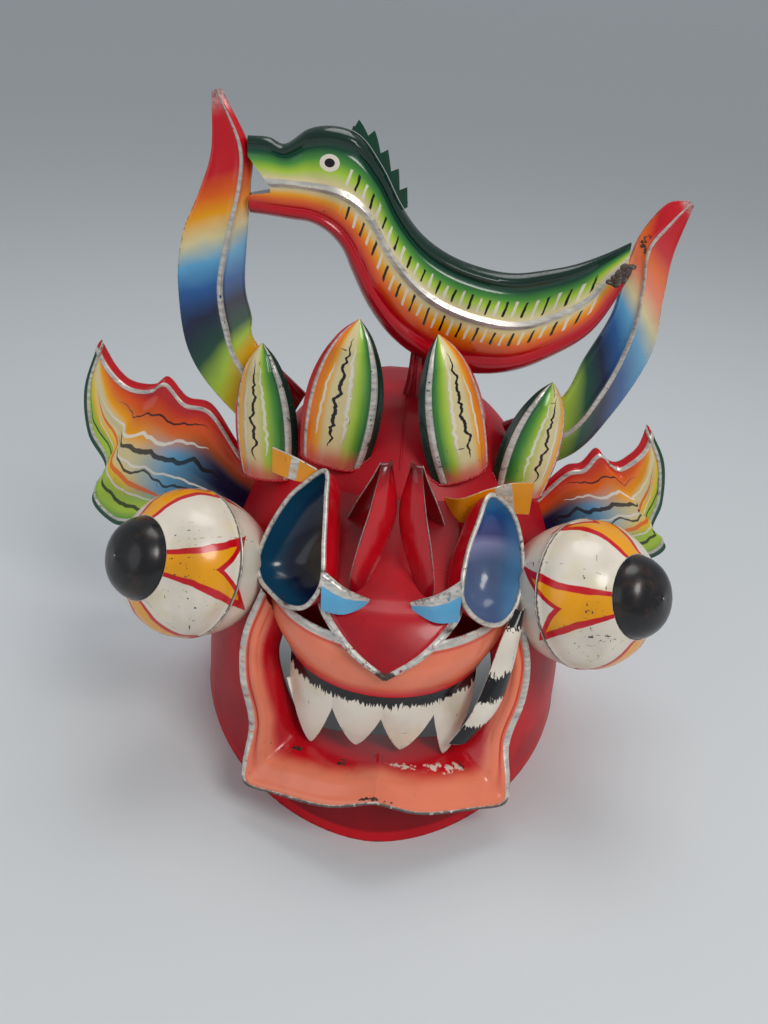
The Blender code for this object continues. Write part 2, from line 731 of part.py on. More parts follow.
def build():
    """Every piece, each trimmed to lie a small gap off those that carry it."""
    bell = bell_solid()
    shell = build_shell()
    flare = painted(sheet("mouth_flare", flare_point, 28, 3), SALMON)
    seat(shell, flare)
    cups = {}
    for side in ("left", "right"):
        sign = side_sign(side)
        cup = sheet("nostril_cup_" + side, cup_point(side), CUP_SIDES, CUP_ROWS, True, inwards=-float(sign))
        cups[side] = painted(seat(cup, bell), BLUE)
    nose = painted(seat(sheet("nose", nose_point, 6, 8), bell, *cups.values()), CRIMSON)
    lip = painted(seat(sheet("upper_lip", lip_point, 16, 2), bell, flare, nose, *cups.values()), SALMON)
    teeth = painted(seat(sheet("teeth", teeth_point, 42, 3), lip, flare), CREAM)
    eyes = build_eyes(bell, flare, cups)
    leaves = []
    for leaf in LEAVES:
        blade = sheet("leaf_" + leaf.place + "_" + leaf.side, leaf_point(leaf), 6, 7)
        leaves.append(painted(seat(blade, bell), GREEN))
    for side in ("left", "right"):
        sign = side_sign(side)
        cup = cups[side]
        flap = sheet("nostril_flap_" + side, flap_point(sign), 4, 3)
        painted(seat(flap, nose, cup, lip), SKY)
        fin = sheet("nose_fin_" + side, ribbon(FIN, FIN_YAW, sign, curl=-2.0), 2, 14, inwards=0.0)
        painted(seat(fin, bell, nose, cup), CRIMSON)
        brow = sheet("brow_" + side, brow_point(side), 2, 8, inwards=0.0)
        painted(seat(brow, bell, cup, fin, nose, *leaves), YELLOW)
    tusk = sheet("tusk_right", ribbon(TUSK, TUSK_YAW, 1, curl=3.0), 4, 8, inwards=0.0)
    painted(seat(tusk, bell, flare, lip, teeth, cups["right"], *eyes[3:5]), BLACK)
    stub = sheet("tusk_stub_left", ribbon(STUB, TUSK_YAW, 1), 2, 3, inwards=0.0)
    painted(seat(stub, flare, teeth), CREAM)
    horns = {}
    for side, table in (("left", HORN_LEFT), ("right", HORN_RIGHT)):
        horn = loft("horn_" + side, [horn_ring(table, i / HORN_STATIONS) for i in range(HORN_STATIONS + 1)])
        horns[side] = painted(seat(horn, bell, *leaves), AMBER)
    for side, table in (("left", EAR_LEFT), ("right", EAR_RIGHT)):
        ear = sheet("ear_" + side, ear_point(table), EAR_COLUMN_COUNT, EAR_ROWS, inwards=0.0)
        painted(seat(ear, bell, horns[side]), YELLOW)
    serpent = seat(build_serpent(), *horns.values())
    build_crest()
    seat(build_strut(), bell, serpent)
    bpy.data.objects.remove(bell)


for item in list(bpy.data.objects):
    bpy.data.objects.remove(item)
build()
for item in bpy.data.objects:
    for polygon in item.data.polygons:
        polygon.use_smooth = True
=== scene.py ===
# Looks of the carnival devil mask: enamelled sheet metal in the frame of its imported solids
import math
from collections import namedtuple

import bmesh
import bpy
import numpy as np
from mathutils import Matrix, Vector


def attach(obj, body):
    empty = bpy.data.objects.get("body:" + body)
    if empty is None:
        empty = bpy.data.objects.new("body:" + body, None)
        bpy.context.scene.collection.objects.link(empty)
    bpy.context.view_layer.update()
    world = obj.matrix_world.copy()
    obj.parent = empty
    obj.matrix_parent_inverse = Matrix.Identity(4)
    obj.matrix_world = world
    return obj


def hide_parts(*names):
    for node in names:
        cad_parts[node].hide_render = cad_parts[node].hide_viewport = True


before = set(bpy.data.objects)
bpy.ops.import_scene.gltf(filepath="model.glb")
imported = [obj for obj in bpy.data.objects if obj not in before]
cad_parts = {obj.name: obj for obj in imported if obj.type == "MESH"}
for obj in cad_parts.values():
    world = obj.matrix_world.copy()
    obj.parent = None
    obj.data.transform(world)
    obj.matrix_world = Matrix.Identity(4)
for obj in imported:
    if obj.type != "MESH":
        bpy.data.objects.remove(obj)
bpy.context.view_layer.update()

MM = 0.001
WALL = 1.2
GAP = 0.3
MIDDLE_X = -11.0
MIDDLE_Y = -61.0
BACK_CUT = ((41, -20), (265, -20), (265, 300), (70, 300))
SHARP_ANGLE = math.radians(38)
ROUND_ANGLE = math.radians(55)
SLIVER = 0.004
DOUBLE = 0.005
BEYOND, SIDEWAYS, UNDER = 250, 200, 20
MOUTH_HOLE_DEPTH = 40
EDGE_BEVEL = 0.3


class Table:
    """Rows of named columns, read anywhere along their first column by a smooth curve."""

    def __init__(self, columns, *rows):
        self.row = namedtuple("Row", columns)
        self.data = np.array(rows, float)
        self.slopes = np.gradient(self.data, self.data[:, 0], axis=0)

    def at(self, place):
        keys = self.data[:, 0]
        i = int(np.clip(np.searchsorted(keys, place) - 1, 0, len(keys) - 2))
        step = keys[i + 1] - keys[i]
        t = (place - keys[i]) / step
        start, end = self.data[i], self.data[i + 1]
        pull_start, pull_end = self.slopes[i] * step, self.slopes[i + 1] * step
        rise = t * t * (3 - 2 * t)
        value = start * (1 - rise) + end * rise
        value += pull_start * t * (1 - t) ** 2 - pull_end * t * t * (1 - t)
        return self.row(*value)


# The bell, a row for each level from the floor rim to the crown
BELL = Table("at height half_width front middle back power",
             (0.00, -2, 135, 166, 10, 100, 1.80),
             (0.10, 35, 134, 160, 10, 100, 1.80),
             (0.22, 75, 129, 146, 10, 100, 1.85),
             (0.34, 115, 118, 120, 10, 99, 1.90),
             (0.45, 150, 106, 95, 11, 97, 2.00),
             (0.55, 180, 92, 72, 13, 90, 2.00),
             (0.65, 205, 77, 52, 15, 77, 2.00),
             (0.76, 224, 58, 33, 16, 59, 2.00),
             (0.88, 236, 34, 13, 17, 35, 2.00),
             (1.00, 240, 0, -18, 18, 0, 2.00))
MOUTH_HOLE = ((0, 120), (56, 120), (68, 113), (67, 84), (56, 67), (30, 64), (0, 66))

# The flared collar round the mouth, from the upper end of one side to the middle below
FLARE = Table("at inner_x inner_y inner_z outer_x outer_y outer_z bulge",
              (0.00, 67, -97, 108, 80, -97, 141, 2),
              (0.16, 69, -101, 95, 90, -105, 112, 5),
              (0.34, 65, -107, 79, 90, -117, 85, 7),
              (0.50, 58, -112, 62, 82, -131, 56, 9),
              (0.61, 51, -116, 53, 84, -146, 38, 9),
              (0.68, 45, -118, 50, 83, -151, 29, 9),
              (0.80, 32, -120, 48, 60, -163, 33, 12),
              (0.90, 16, -122, 48, 28, -177, 41, 13),
              (1.00, 0, -123, 49, 0, -185, 55, 12))

# The upper lip, from its silver upper edge to its lower edge
LIP = Table("at height radius centre bulge",
            (0.0, 138, 80, -58.5, 0),
            (0.5, 121, 74, -70.5, 2),
            (1.0, 103.5, 64, -81, 0))
LIP_SPREAD = math.radians(70)

# The toothed strip: a row for each tooth, from its root on one side over its tip to the other
TEETH_FRONT = -143.0
TEETH_ROOT_RADIUS = 62.0
TEETH_TIP_RADIUS = 95.0
TEETH_LOW = 50.0
TEETH_TOP = 112.0
TOOTH_ROOT = 84.0
TOOTH_ROUNDNESS = 1.45
Tooth = namedtuple("Tooth", "start tip end depth")
TEETH = (Tooth(-59, -42, -30, 52), Tooth(-30, -14, 0, 61.5), Tooth(0, 13, 32, 60.5), Tooth(32, 40, 57, 51.5))

# The plane and the rim of a nostril bowl, on the viewer's right
CUP_NORMAL = Vector((0.68, -0.58, 0.45)).normalized()
CUP_TOP = Vector((51, -80, 214))
CUP_RIMS = {
    "left": ((45, 219), (60, 204), (69, 192), (79, 173), (85, 155), (82, 147), (75, 145), (64, 145),
             (53, 150), (46, 158), (41, 170), (42, 187), (43, 206)),
    "right": ((55, 209), (67, 200), (75, 188), (80, 173), (82, 158), (80, 149.5), (77, 144), (71, 141.5),
              (64, 143), (55, 149), (46.5, 158), (41, 169), (43, 186), (49, 199))}
CUP_DEPTH = 27.0

# The nose plate, from its seam on the forehead to its tip
NOSE = Table("at half_width forward height droop",
             (0.00, 36, 62, 191, 8),
             (0.30, 41, 92, 172, 8),
             (0.60, 43, 119, 155, 7),
             (0.75, 40, 133, 148, 6),
             (0.90, 20, 147, 132.5, 2),
             (1.00, 1, 153, 122.8, 0))

# A folded fin of the nose, from its foot over the fold to its tail on the forehead
FIN = Table("at x y z width",
            (0.00, 25, -117, 156, 12),
            (0.10, 25, -117, 166, 17),
            (0.28, 21, -116, 190, 23),
            (0.45, 16, -113, 212, 19),
            (0.57, 12.5, -107, 231, 10),
            (0.64, 12, -101, 236, 8),
            (0.72, 16, -93, 223, 12),
            (0.86, 26, -80, 196, 16),
            (1.00, 35, -66, 167, 16))
FIN_YAW = math.radians(140)

# The brow strips behind the nostril bowls, from the forehead outwards
BROWS = {
    "left": Table("at x y z width",
                  (0.0, 50, -76, 211, 10),
                  (0.5, 64, -74, 214, 16),
                  (1.0, 78, -70, 217, 17)),
    "right": Table("at x y z width",
                   (0.00, 28, -54, 186, 12),
                   (0.25, 38, -67, 190, 17),
                   (0.55, 55, -66, 196, 20),
                   (0.80, 70, -61, 198, 22),
                   (1.00, 84, -57, 197, 23))}

# A nostril flap on the viewer's right, a row from the bowl to its tip on the nose
FLAP = Table("at top_x top_y top_z low_x low_y low_z",
             (0.0, 41, -122, 175, 40, -133, 153.5),
             (0.5, 27, -126, 166, 27, -132.5, 151.5),
             (1.0, 12, -121.5, 156, 14, -124.5, 152.5))

# The black and white tusk, from the cheek down to the lower lip, and the stub of the other
TUSK = Table("at x y z width",
             (0.00, 77, -104, 145, 6),
             (0.25, 69, -118, 131, 13),
             (0.50, 62, -129, 107, 17),
             (0.75, 54, -138, 86, 19),
             (1.00, 43, -143, 67, 16))
TUSK_YAW = math.radians(25)
STUB = Table("at x y z width",
             (0.0, -62, -113, 84, 6),
             (0.5, -58, -119, 76, 9),
             (1.0, -54, -124, 68, 5))

# An eye: its foot, its pupil's direction and its outline along that axis
EYE_FEET = {"left": Vector((-95, -48, 121)), "right": Vector((91, -48, 121))}
EYE_AXIS = Vector((0.64, -0.62, 0.44)).normalized()
EYE_BACK = Table("at along radius", (0.0, 0, 22), (0.3, 14, 33), (0.65, 32, 42), (1.0, 51, 46.5))
EYE_FRONT = Table("at along radius", (0.0, 51, 46.5), (0.35, 65, 44.5), (0.7, 79, 36), (1.0, 89, 25))
PUPIL = Table("at along radius", (0.0, 89.2, 24.5), (0.3, 95, 22.5), (0.65, 102, 15.5), (1.0, 106, 0))

# The crown leaves: foot, tip, width, turn of the face
Leaf = namedtuple("Leaf", "side place foot tip width turn")
LEAVES = (Leaf("left", "inner", (-44, -46, 204), (-32, -41, 298), 50, -8),
          Leaf("right", "inner", (42, -46, 203), (18, -41, 293), 47, 28),
          Leaf("left", "outer", (-88, -31, 183), (-94, -20, 271), 45, -18),
          Leaf("right", "outer", (80, -31, 184), (94, -20, 260), 45, 20))
LEAF_OUTLINE = Table("at half_width",
                     (0.0, 0.86), (0.2, 0.98), (0.4, 1.0), (0.6, 0.9), (0.8, 0.62), (0.93, 0.3), (1.0, 0.02))
LEAF_BULGE = 9.0

# The horns, a row for each station from the root to the tip, as seen from the front
HORN_COLUMNS = "at left_x left_z ridge_x ridge_z right_x right_z"
HORNS = {
    "left": Table(HORN_COLUMNS,
                  (0.00, -88, 190, -78, 210, -66, 232),
                  (0.12, -122, 223, -108, 249, -98, 263),
                  (0.26, -143, 256, -117, 275, -102, 282),
                  (0.40, -148, 298, -120, 302, -106, 302),
                  (0.55, -144, 330, -113, 337, -104, 338),
                  (0.70, -133, 356, -107, 362, -102, 362),
                  (0.85, -125, 380, -107, 385, -102, 382),
                  (1.00, -124, 411, -121, 413, -118, 413)),
    "right": Table(HORN_COLUMNS,
                   (0.00, 66, 222, 76, 205, 86, 186),
                   (0.12, 100, 240, 109, 220, 117, 204),
                   (0.26, 113, 272, 127, 249, 137, 234),
                   (0.42, 124, 300, 138, 288, 154, 277),
                   (0.58, 127, 322, 139, 320, 154, 313),
                   (0.74, 132, 351, 138, 345, 154, 339),
                   (0.86, 143, 369, 147, 359, 156, 352),
                   (1.00, 156, 373, 158, 372, 160, 370))}
HORN_RIDGE = 7.0

# The serpent, a row for each station from the snout to the tail, as seen from the front
SERPENT = Table("at top_x top_z ridge_x ridge_z belly_x belly_z half_depth",
                (0.000, -103, 390, -102, 366, -102, 347, 6),
                (0.045, -91, 390, -90, 366, -88, 346, 9),
                (0.090, -82, 387, -79, 366.5, -78, 345, 10),
                (0.145, -68, 396, -66, 366, -66, 344, 11),
                (0.205, -52, 398.5, -52, 364.5, -55, 339, 12),
                (0.265, -38, 394, -40, 360, -46, 330, 12),
                (0.330, -25, 379, -29, 351, -39, 316, 12),
                (0.410, -12, 358, -16, 331, -28, 296, 12),
                (0.490, 2, 342, 0, 314, -12, 277, 12),
                (0.570, 20, 331, 17, 303, 11, 263, 12),
                (0.650, 40, 325, 38, 296, 40, 257, 12),
                (0.730, 58, 323, 61, 293, 66, 260, 11),
                (0.820, 77, 326, 82, 298, 92, 273, 10),
                (0.900, 98, 332, 106, 312, 112, 289, 8),
                (0.960, 115, 340, 118, 328, 122, 306, 5),
                (1.000, 127, 347, 127, 338, 130, 326, 3))
SERPENT_Y = -3.0

# Solder on the tail's tip and on the horn that it touches, before and behind
TAIL_JOINTS = (((115, -17.0, 326), (121, -17.5, 325), (117, -18.0, 329), (124, -18.0, 328), (119, -18.5, 332),
                (126, -18.0, 332), (121, -18.0, 336), (127, -17.5, 336)),
               ((116, 1.5, 326), (121, 2.0, 329), (119, 2.0, 332), (125, 1.5, 335)))
JAW_NOTCH = ((-104, 381), (-89, 364), (-89, 360.5), (-104, 357.5))
CREST_START = 0.24
CREST_END = 0.42
CREST_FINS = 5
CREST_HEIGHT = 5.0

# The post that carries the serpent on the crown
STRUT = Table("at height radius", (0.0, 232, 9.5), (0.35, 245, 6.5), (1.0, 272, 4.5))
STRUT_X = 6.0
STRUT_Y = -1.0

# The wing ears, a row for each rib between the lower edge and the upper edge, as seen from the front
EAR_COLUMNS = "at low_x low_z high_x high_z"
EARS = {
    "left": Table(EAR_COLUMNS,
                  (0.00, -92, 112, -86, 160),
                  (0.15, -125, 107, -110, 184),
                  (0.30, -160, 109, -131, 216),
                  (0.42, -187, 114, -148, 220),
                  (0.52, -208, 114, -160, 233),
                  (0.60, -221, 132, -168, 227),
                  (0.68, -209, 157, -178, 226),
                  (0.78, -219, 184, -188, 229),
                  (0.88, -219, 216, -196, 238),
                  (1.00, -206, 252, -204, 254)),
    "right": Table(EAR_COLUMNS,
                   (0.00, 86, 112, 78, 150),
                   (0.15, 115, 107, 95, 165),
                   (0.30, 145, 111, 115, 190),
                   (0.42, 170, 119, 126, 194),
                   (0.52, 191, 120, 134, 205),
                   (0.60, 199, 130, 141, 198),
                   (0.68, 187, 141, 149, 195),
                   (0.78, 189, 165, 157, 200),
                   (0.88, 184, 195, 163, 208),
                   (1.00, 168, 222, 166, 224))}
EAR_Y = 6.0
EAR_SWEEP = 6.0
EAR_DISH = 8.0

# Paints as display red, green and blue out of 255
PAINTS = {
    "red": (206, 18, 34), "crimson": (154, 12, 32), "wine": (104, 10, 18), "pink": (214, 70, 82),
    "salmon": (244, 132, 100), "orange": (240, 104, 22), "amber": (248, 166, 14), "yellow": (246, 196, 36),
    "cream": (228, 212, 158), "ivory": (236, 226, 210), "lime": (172, 208, 62), "leaf": (78, 148, 62),
    "forest": (12, 74, 52), "pine": (8, 46, 36), "sky": (96, 170, 214), "blue": (34, 92, 158),
    "navy": (16, 24, 62), "violet": (74, 76, 136), "lilac": (150, 150, 192), "steel": (88, 106, 144),
    "silver": (190, 186, 182), "white": (240, 234, 222), "teal": (26, 74, 104), "black": (20, 18, 22),
    "rust": (74, 50, 38), "tin": (96, 88, 80), "soot": (38, 30, 28)}


def linear(name):
    """A paint's linear colour."""
    return tuple((c / 255) ** 2.2 for c in PAINTS[name]) + (1.0,)


def placed(point):
    """A point of the tables in metres, measured from under the middle of the mask."""
    return Vector((point[0] - MIDDLE_X, point[1] - MIDDLE_Y, point[2])) * MM


def side_sign(side):
    return 1 if side == "right" else -1


def mirrored(point, sign):
    return Vector((point[0] * sign, point[1], point[2]))


def bump(x, centre, width):
    """A smooth hill of height one."""
    return math.exp(-((x - centre) / width) ** 2)


def step(x, low, high):
    """A smooth rise from nought to one."""
    t = min(1.0, max(0.0, (x - low) / (high - low)))
    return t * t * (3 - 2 * t)


# Surfaces of two fractions

def bell_point(turn, climb):
    row = BELL.at(climb)
    angle = 2 * math.pi * turn
    across, ahead = math.sin(angle), math.cos(angle)
    power = 2 / row.power
    x = row.half_width * math.copysign(abs(across) ** power, across)
    if ahead >= 0:
        return (x, row.middle - (row.front + row.middle) * ahead ** power, row.height)
    return (x, row.middle + row.back * abs(ahead), row.height)


def flare_point(turn, out):
    across = 2 * turn - 1
    row = FLARE.at(1 - abs(across))
    sign = math.copysign(1, across)
    inner = Vector((row.inner_x * sign, row.inner_y, row.inner_z))
    outer = Vector((row.outer_x * sign, row.outer_y, row.outer_z))
    lift = Vector((0, -0.75, 0.66)) * row.bulge * math.sin(math.pi * out)
    return inner.lerp(outer, out) + lift


def lip_point(turn, drop):
    row = LIP.at(drop)
    angle = LIP_SPREAD * (2 * turn - 1)
    radius = row.radius + row.bulge
    return (radius * math.sin(angle), row.centre - radius * math.cos(angle), row.height)


def tooth_share(x):
    """How far a place lies from its tooth's tip to its side, and that tooth."""
    for tooth in TEETH:
        if tooth.start <= x <= tooth.end:
            side = tooth.start if x < tooth.tip else tooth.end
            return abs((x - tooth.tip) / (side - tooth.tip)), tooth
    return 1.0, TEETH[-1]


def teeth_x(turn):
    return TEETH[0].start + (TEETH[-1].end - TEETH[0].start) * turn


def teeth_point(turn, drop):
    x = teeth_x(turn)
    beside, tooth = tooth_share(x)
    low = tooth.depth + (TOOTH_ROOT - tooth.depth) * beside ** TOOTH_ROUNDNESS
    z = TEETH_TOP + (low - TEETH_TOP) * drop
    share = (TEETH_TOP - z) / (TEETH_TOP - TEETH_LOW)
    near, far = (TEETH_FRONT + radius - math.sqrt(radius ** 2 - x ** 2)
                 for radius in (TEETH_ROOT_RADIUS, TEETH_TIP_RADIUS))
    return (x, near + (far - near) * share, z)


def closed_curve(corners, place):
    count = len(corners)
    along = place * count
    i = int(along) % count
    t = along - int(along)
    a, b, c, d = (np.array(corners[(i + k) % count], float) for k in (-1, 0, 1, 2))
    return b + 0.5 * t * (c - a + t * (2 * a - 5 * b + 4 * c - d + t * (3 * (b - c) + d - a)))


def cup_rim(side, place):
    x, z = closed_curve(CUP_RIMS[side], place)
    y = CUP_TOP.y - (CUP_NORMAL.x * (x - CUP_TOP.x) + CUP_NORMAL.z * (z - CUP_TOP.z)) / CUP_NORMAL.y
    return Vector((x, y, z))


def cup_point(side):
    centre = sum((cup_rim(side, i / 24) for i in range(24)), Vector()) / 24

    def surface(turn, depth):
        angle = depth * math.pi / 2
        spread = math.cos(angle) ** 0.8 if depth < 1 else 0.0
        point = centre + (cup_rim(side, turn) - centre) * spread - CUP_NORMAL * CUP_DEPTH * math.sin(angle)
        return mirrored(point, side_sign(side))
    return surface


def nose_point(turn, drop):
    row = NOSE.at(drop)
    across = 2 * turn - 1
    return (across * row.half_width, -row.forward + row.droop * across ** 2, row.height)


def ribbon(table, yaw, sign=1, curl=0.0):
    heading = Vector((math.cos(yaw), math.sin(yaw), 0))

    def surface(across, along):
        row = table.at(along)
        hollow = Vector((math.sin(yaw), -math.cos(yaw), 0)) * curl * 4 * across * (1 - across)
        point = Vector((row.x, row.y, row.z)) + heading * row.width * across + hollow
        return mirrored(point, sign)
    return surface


def brow_point(side):
    def surface(across, along):
        row = BROWS[side].at(along)
        return mirrored((row.x, row.y, row.z + row.width * (across - 0.5)), side_sign(side))
    return surface


def flap_point(sign):
    def surface(down, along):
        row = FLAP.at(along)
        top, low = Vector((row.top_x, row.top_y, row.top_z)), Vector((row.low_x, row.low_y, row.low_z))
        bulge = Vector((0, -3 * math.sin(math.pi * down) * (1 - along), 0))
        return mirrored(top.lerp(low, down) + bulge, sign)
    return surface


def turned_point(foot, axis, table):
    across = axis.cross(Vector((0, 0, 1))).normalized()
    up = across.cross(axis)

    def surface(turn, along):
        row = table.at(along)
        angle = 2 * math.pi * turn
        return foot + axis * row.along + (across * math.cos(angle) + up * math.sin(angle)) * row.radius
    return surface


def leaf_point(leaf):
    foot, tip = Vector(leaf.foot), Vector(leaf.tip)
    turn = math.radians(leaf.turn)
    axis = (tip - foot).normalized()
    level = Vector((math.cos(turn), math.sin(turn), 0))
    level = (level - axis * level.dot(axis)).normalized()
    face = level.cross(axis)

    def surface(across, along):
        u = 2 * across - 1
        half = leaf.width / 2 * LEAF_OUTLINE.at(along).half_width
        bulge = LEAF_BULGE * (1 - abs(u) ** 2.6) * min(1.0, half / (leaf.width * 0.3))
        return foot.lerp(tip, along) + level * half * u + face * (bulge - LEAF_BULGE / 2)
    return surface


def ear_point(table):
    def surface(out, up):
        row = table.at(out)
        x = row.low_x + (row.high_x - row.low_x) * up
        z = row.low_z + (row.high_z - row.low_z) * up
        return (x, EAR_Y + EAR_SWEEP * out - EAR_DISH * math.sin(math.pi * up) * (1 - out * out), z)
    return surface


def crest_foot(along):
    """The foot of the crest strip and the way that it stands."""
    place = CREST_START + (CREST_END - CREST_START) * along
    row = SERPENT.at(place)
    before, after = SERPENT.at(place - 0.01), SERPENT.at(place + 0.01)
    run = Vector((after.top_x - before.top_x, 0, after.top_z - before.top_z)).normalized()
    return Vector((row.top_x, SERPENT_Y, row.top_z)), Vector((-run.z, 0, run.x))


def crest_point(along, up):
    foot, out = crest_foot(along)
    tooth = along * CREST_FINS % 1
    fin = CREST_HEIGHT * (1 - tooth) if 0.02 < along < 0.98 else 0
    return foot + out * (GAP + 0.2 + (2.5 + fin) * up)


# Meshes

def linked(name, data):
    """A new object in the scene."""
    item = bpy.data.objects.new(name, data)
    bpy.context.scene.collection.objects.link(item)
    return item


def drop(cutters):
    for cutter in cutters:
        bpy.data.objects.remove(cutter)


def bake(piece):
    """Make a piece's modifiers into its mesh."""
    graph = bpy.context.evaluated_depsgraph_get()
    mesh = bpy.data.meshes.new_from_object(piece.evaluated_get(graph))
    piece.modifiers.clear()
    piece.data = mesh
    mesh.name = piece.name
    return mesh


def grid_faces(columns, rows, width):
    """The faces of a grid of points, and the column and row of each of their corners."""
    faces, places = [], []
    for row in range(rows):
        for column in range(columns):
            corners = [(column, row), (column + 1, row), (column + 1, row + 1), (column, row + 1)]
            faces.append([up * width + across % width for across, up in corners])
            places += corners
    return faces, places


def grid_mesh(name, surface, columns, rows, closed, relief, reach):
    """A grid over a surface, raised by its relief, with its two fractions as one UV map and
    its distances from its own edges, in centimetres, as a second."""
    width = columns if closed else columns + 1
    points = np.array([[surface(column / columns, row / rows) for column in range(columns + 1)]
                       for row in range(rows + 1)], float)
    if relief is not None:
        across, along = np.gradient(points, axis=1), np.gradient(points, axis=0)
        if closed:
            across[:, 0] = across[:, -1] = points[:, 1] - points[:, -2]
        normals = np.cross(across, along)
        normals /= np.maximum(np.linalg.norm(normals, axis=2, keepdims=True), 1e-6)
        rises = np.array([[relief(column / columns, row / rows) for column in range(columns + 1)]
                          for row in range(rows + 1)])
        points += normals * rises[:, :, None]
    mesh = bpy.data.meshes.new(name)
    faces, places = grid_faces(columns, rows, width)
    mesh.from_pydata([placed(points[row][column]) for row in range(rows + 1) for column in range(width)],
                     [], faces)
    fractions = mesh.uv_layers.new(name="fractions")
    reaches = mesh.uv_layers.new(name="reach")
    for i, (column, row) in enumerate(places):
        fractions.data[i].uv = (column / columns, row / rows)
        reaches.data[i].uv = reach(column / columns, row / rows) if reach else (1.0, 1.0)
    return mesh


def finished(piece):
    """The piece with its modifiers made into its mesh, its small offcuts dropped and its corners sharp."""
    mesh = bake(piece)
    shape = bmesh.new()
    shape.from_mesh(mesh)
    bmesh.ops.dissolve_degenerate(shape, dist=SLIVER * MM, edges=shape.edges)
    shape.verts.ensure_lookup_table()
    drop_offcuts(shape)
    for face in shape.faces:
        face.smooth = True
    for edge in shape.edges:
        edge.smooth = len(edge.link_faces) == 2 and edge.calc_face_angle(0.0) < SHARP_ANGLE
    shape.to_mesh(mesh)
    shape.free()
    return piece


def drop_offcuts(shape):
    """Keep the largest body of a shape."""
    bodies, left = [], set(shape.verts)
    while left:
        body = {left.pop()}
        front = list(body)
        while front:
            vertex = front.pop()
            for edge in vertex.link_edges:
                other = edge.other_vert(vertex)
                if other not in body:
                    body.add(other)
                    front.append(other)
        left -= body
        bodies.append(body)
    bodies.sort(key=body_size, reverse=True)
    bmesh.ops.delete(shape, geom=[v for body in bodies[1:] for v in body], context="VERTS")


def body_size(body):
    places = np.array([vertex.co for vertex in body])
    return float(np.linalg.norm(places.max(axis=0) - places.min(axis=0)))


def new_piece(name, mesh, paints):
    for paint in paints:
        mesh.materials.append(paint)
    return linked(name, mesh)


def trim(piece, cutters):
    """Take cutters away from a piece."""
    for cutter in cutters:
        away = piece.modifiers.new("trim", "BOOLEAN")
        away.operation = "DIFFERENCE"
        away.solver = "EXACT"
        away.object = cutter
    return piece


def adopt(piece, slot, *nodes):
    """Ride the piece on the mask in place of CAD nodes. The slot is not used."""
    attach(piece, "root")
    if nodes:
        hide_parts(*nodes)
    return piece


def plate(name, surface, columns, rows, paints, slot, closed=False, inwards=-1.0, relief=None, reach=None,
          cutters=(), beside=(), nodes=None, wall=WALL):
    """A wall of sheet metal in an outer, an inner and an edge paint, trimmed at its neighbours."""
    mesh = grid_mesh(name, surface, columns, rows, closed, relief, reach)
    piece = new_piece(name, mesh, paints)
    solid = piece.modifiers.new("wall", "SOLIDIFY")
    solid.thickness = wall * MM
    solid.offset = inwards
    solid.material_offset = 1
    solid.material_offset_rim = 2
    round_off = piece.modifiers.new("edge", "BEVEL")
    round_off.width = EDGE_BEVEL * MM
    round_off.segments = 1
    round_off.limit_method = "ANGLE"
    round_off.angle_limit = ROUND_ANGLE
    neighbours = near(*beside)
    trim(piece, list(cutters) + neighbours)
    finished(piece)
    drop(neighbours)
    return adopt(piece, slot, *(nodes or (name,)))


def loft(name, rings, fractions, paints):
    """A closed body through rings of points, with its fractions as UV."""
    count, width = len(rings), len(rings[0])
    faces, places = grid_faces(width, count - 1, width)
    for row, order in ((0, range(width - 1, -1, -1)), (count - 1, range(width))):
        faces.append(tuple(row * width + column for column in order))
        places += [(column, row) for column in order]
    mesh = bpy.data.meshes.new(name)
    mesh.from_pydata([placed(point) for ring in rings for point in ring], [], faces)
    layer = mesh.uv_layers.new(name="fractions")
    reaches = mesh.uv_layers.new(name="reach")
    for i, (column, row) in enumerate(places):
        layer.data[i].uv = (fractions[column % width], row / (count - 1))
        reaches.data[i].uv = (1.0, 1.0)
    shape = bmesh.new()
    shape.from_mesh(mesh)
    bmesh.ops.recalc_face_normals(shape, faces=shape.faces)
    shape.to_mesh(mesh)
    shape.free()
    return new_piece(name, mesh, paints)


def prism(name, outline, near, far):
    rings = [[(x, y, z) for x, z in outline] for y in (near, far)]
    return loft(name, rings, [0.0] * len(outline), ())


# Paint, as node trees

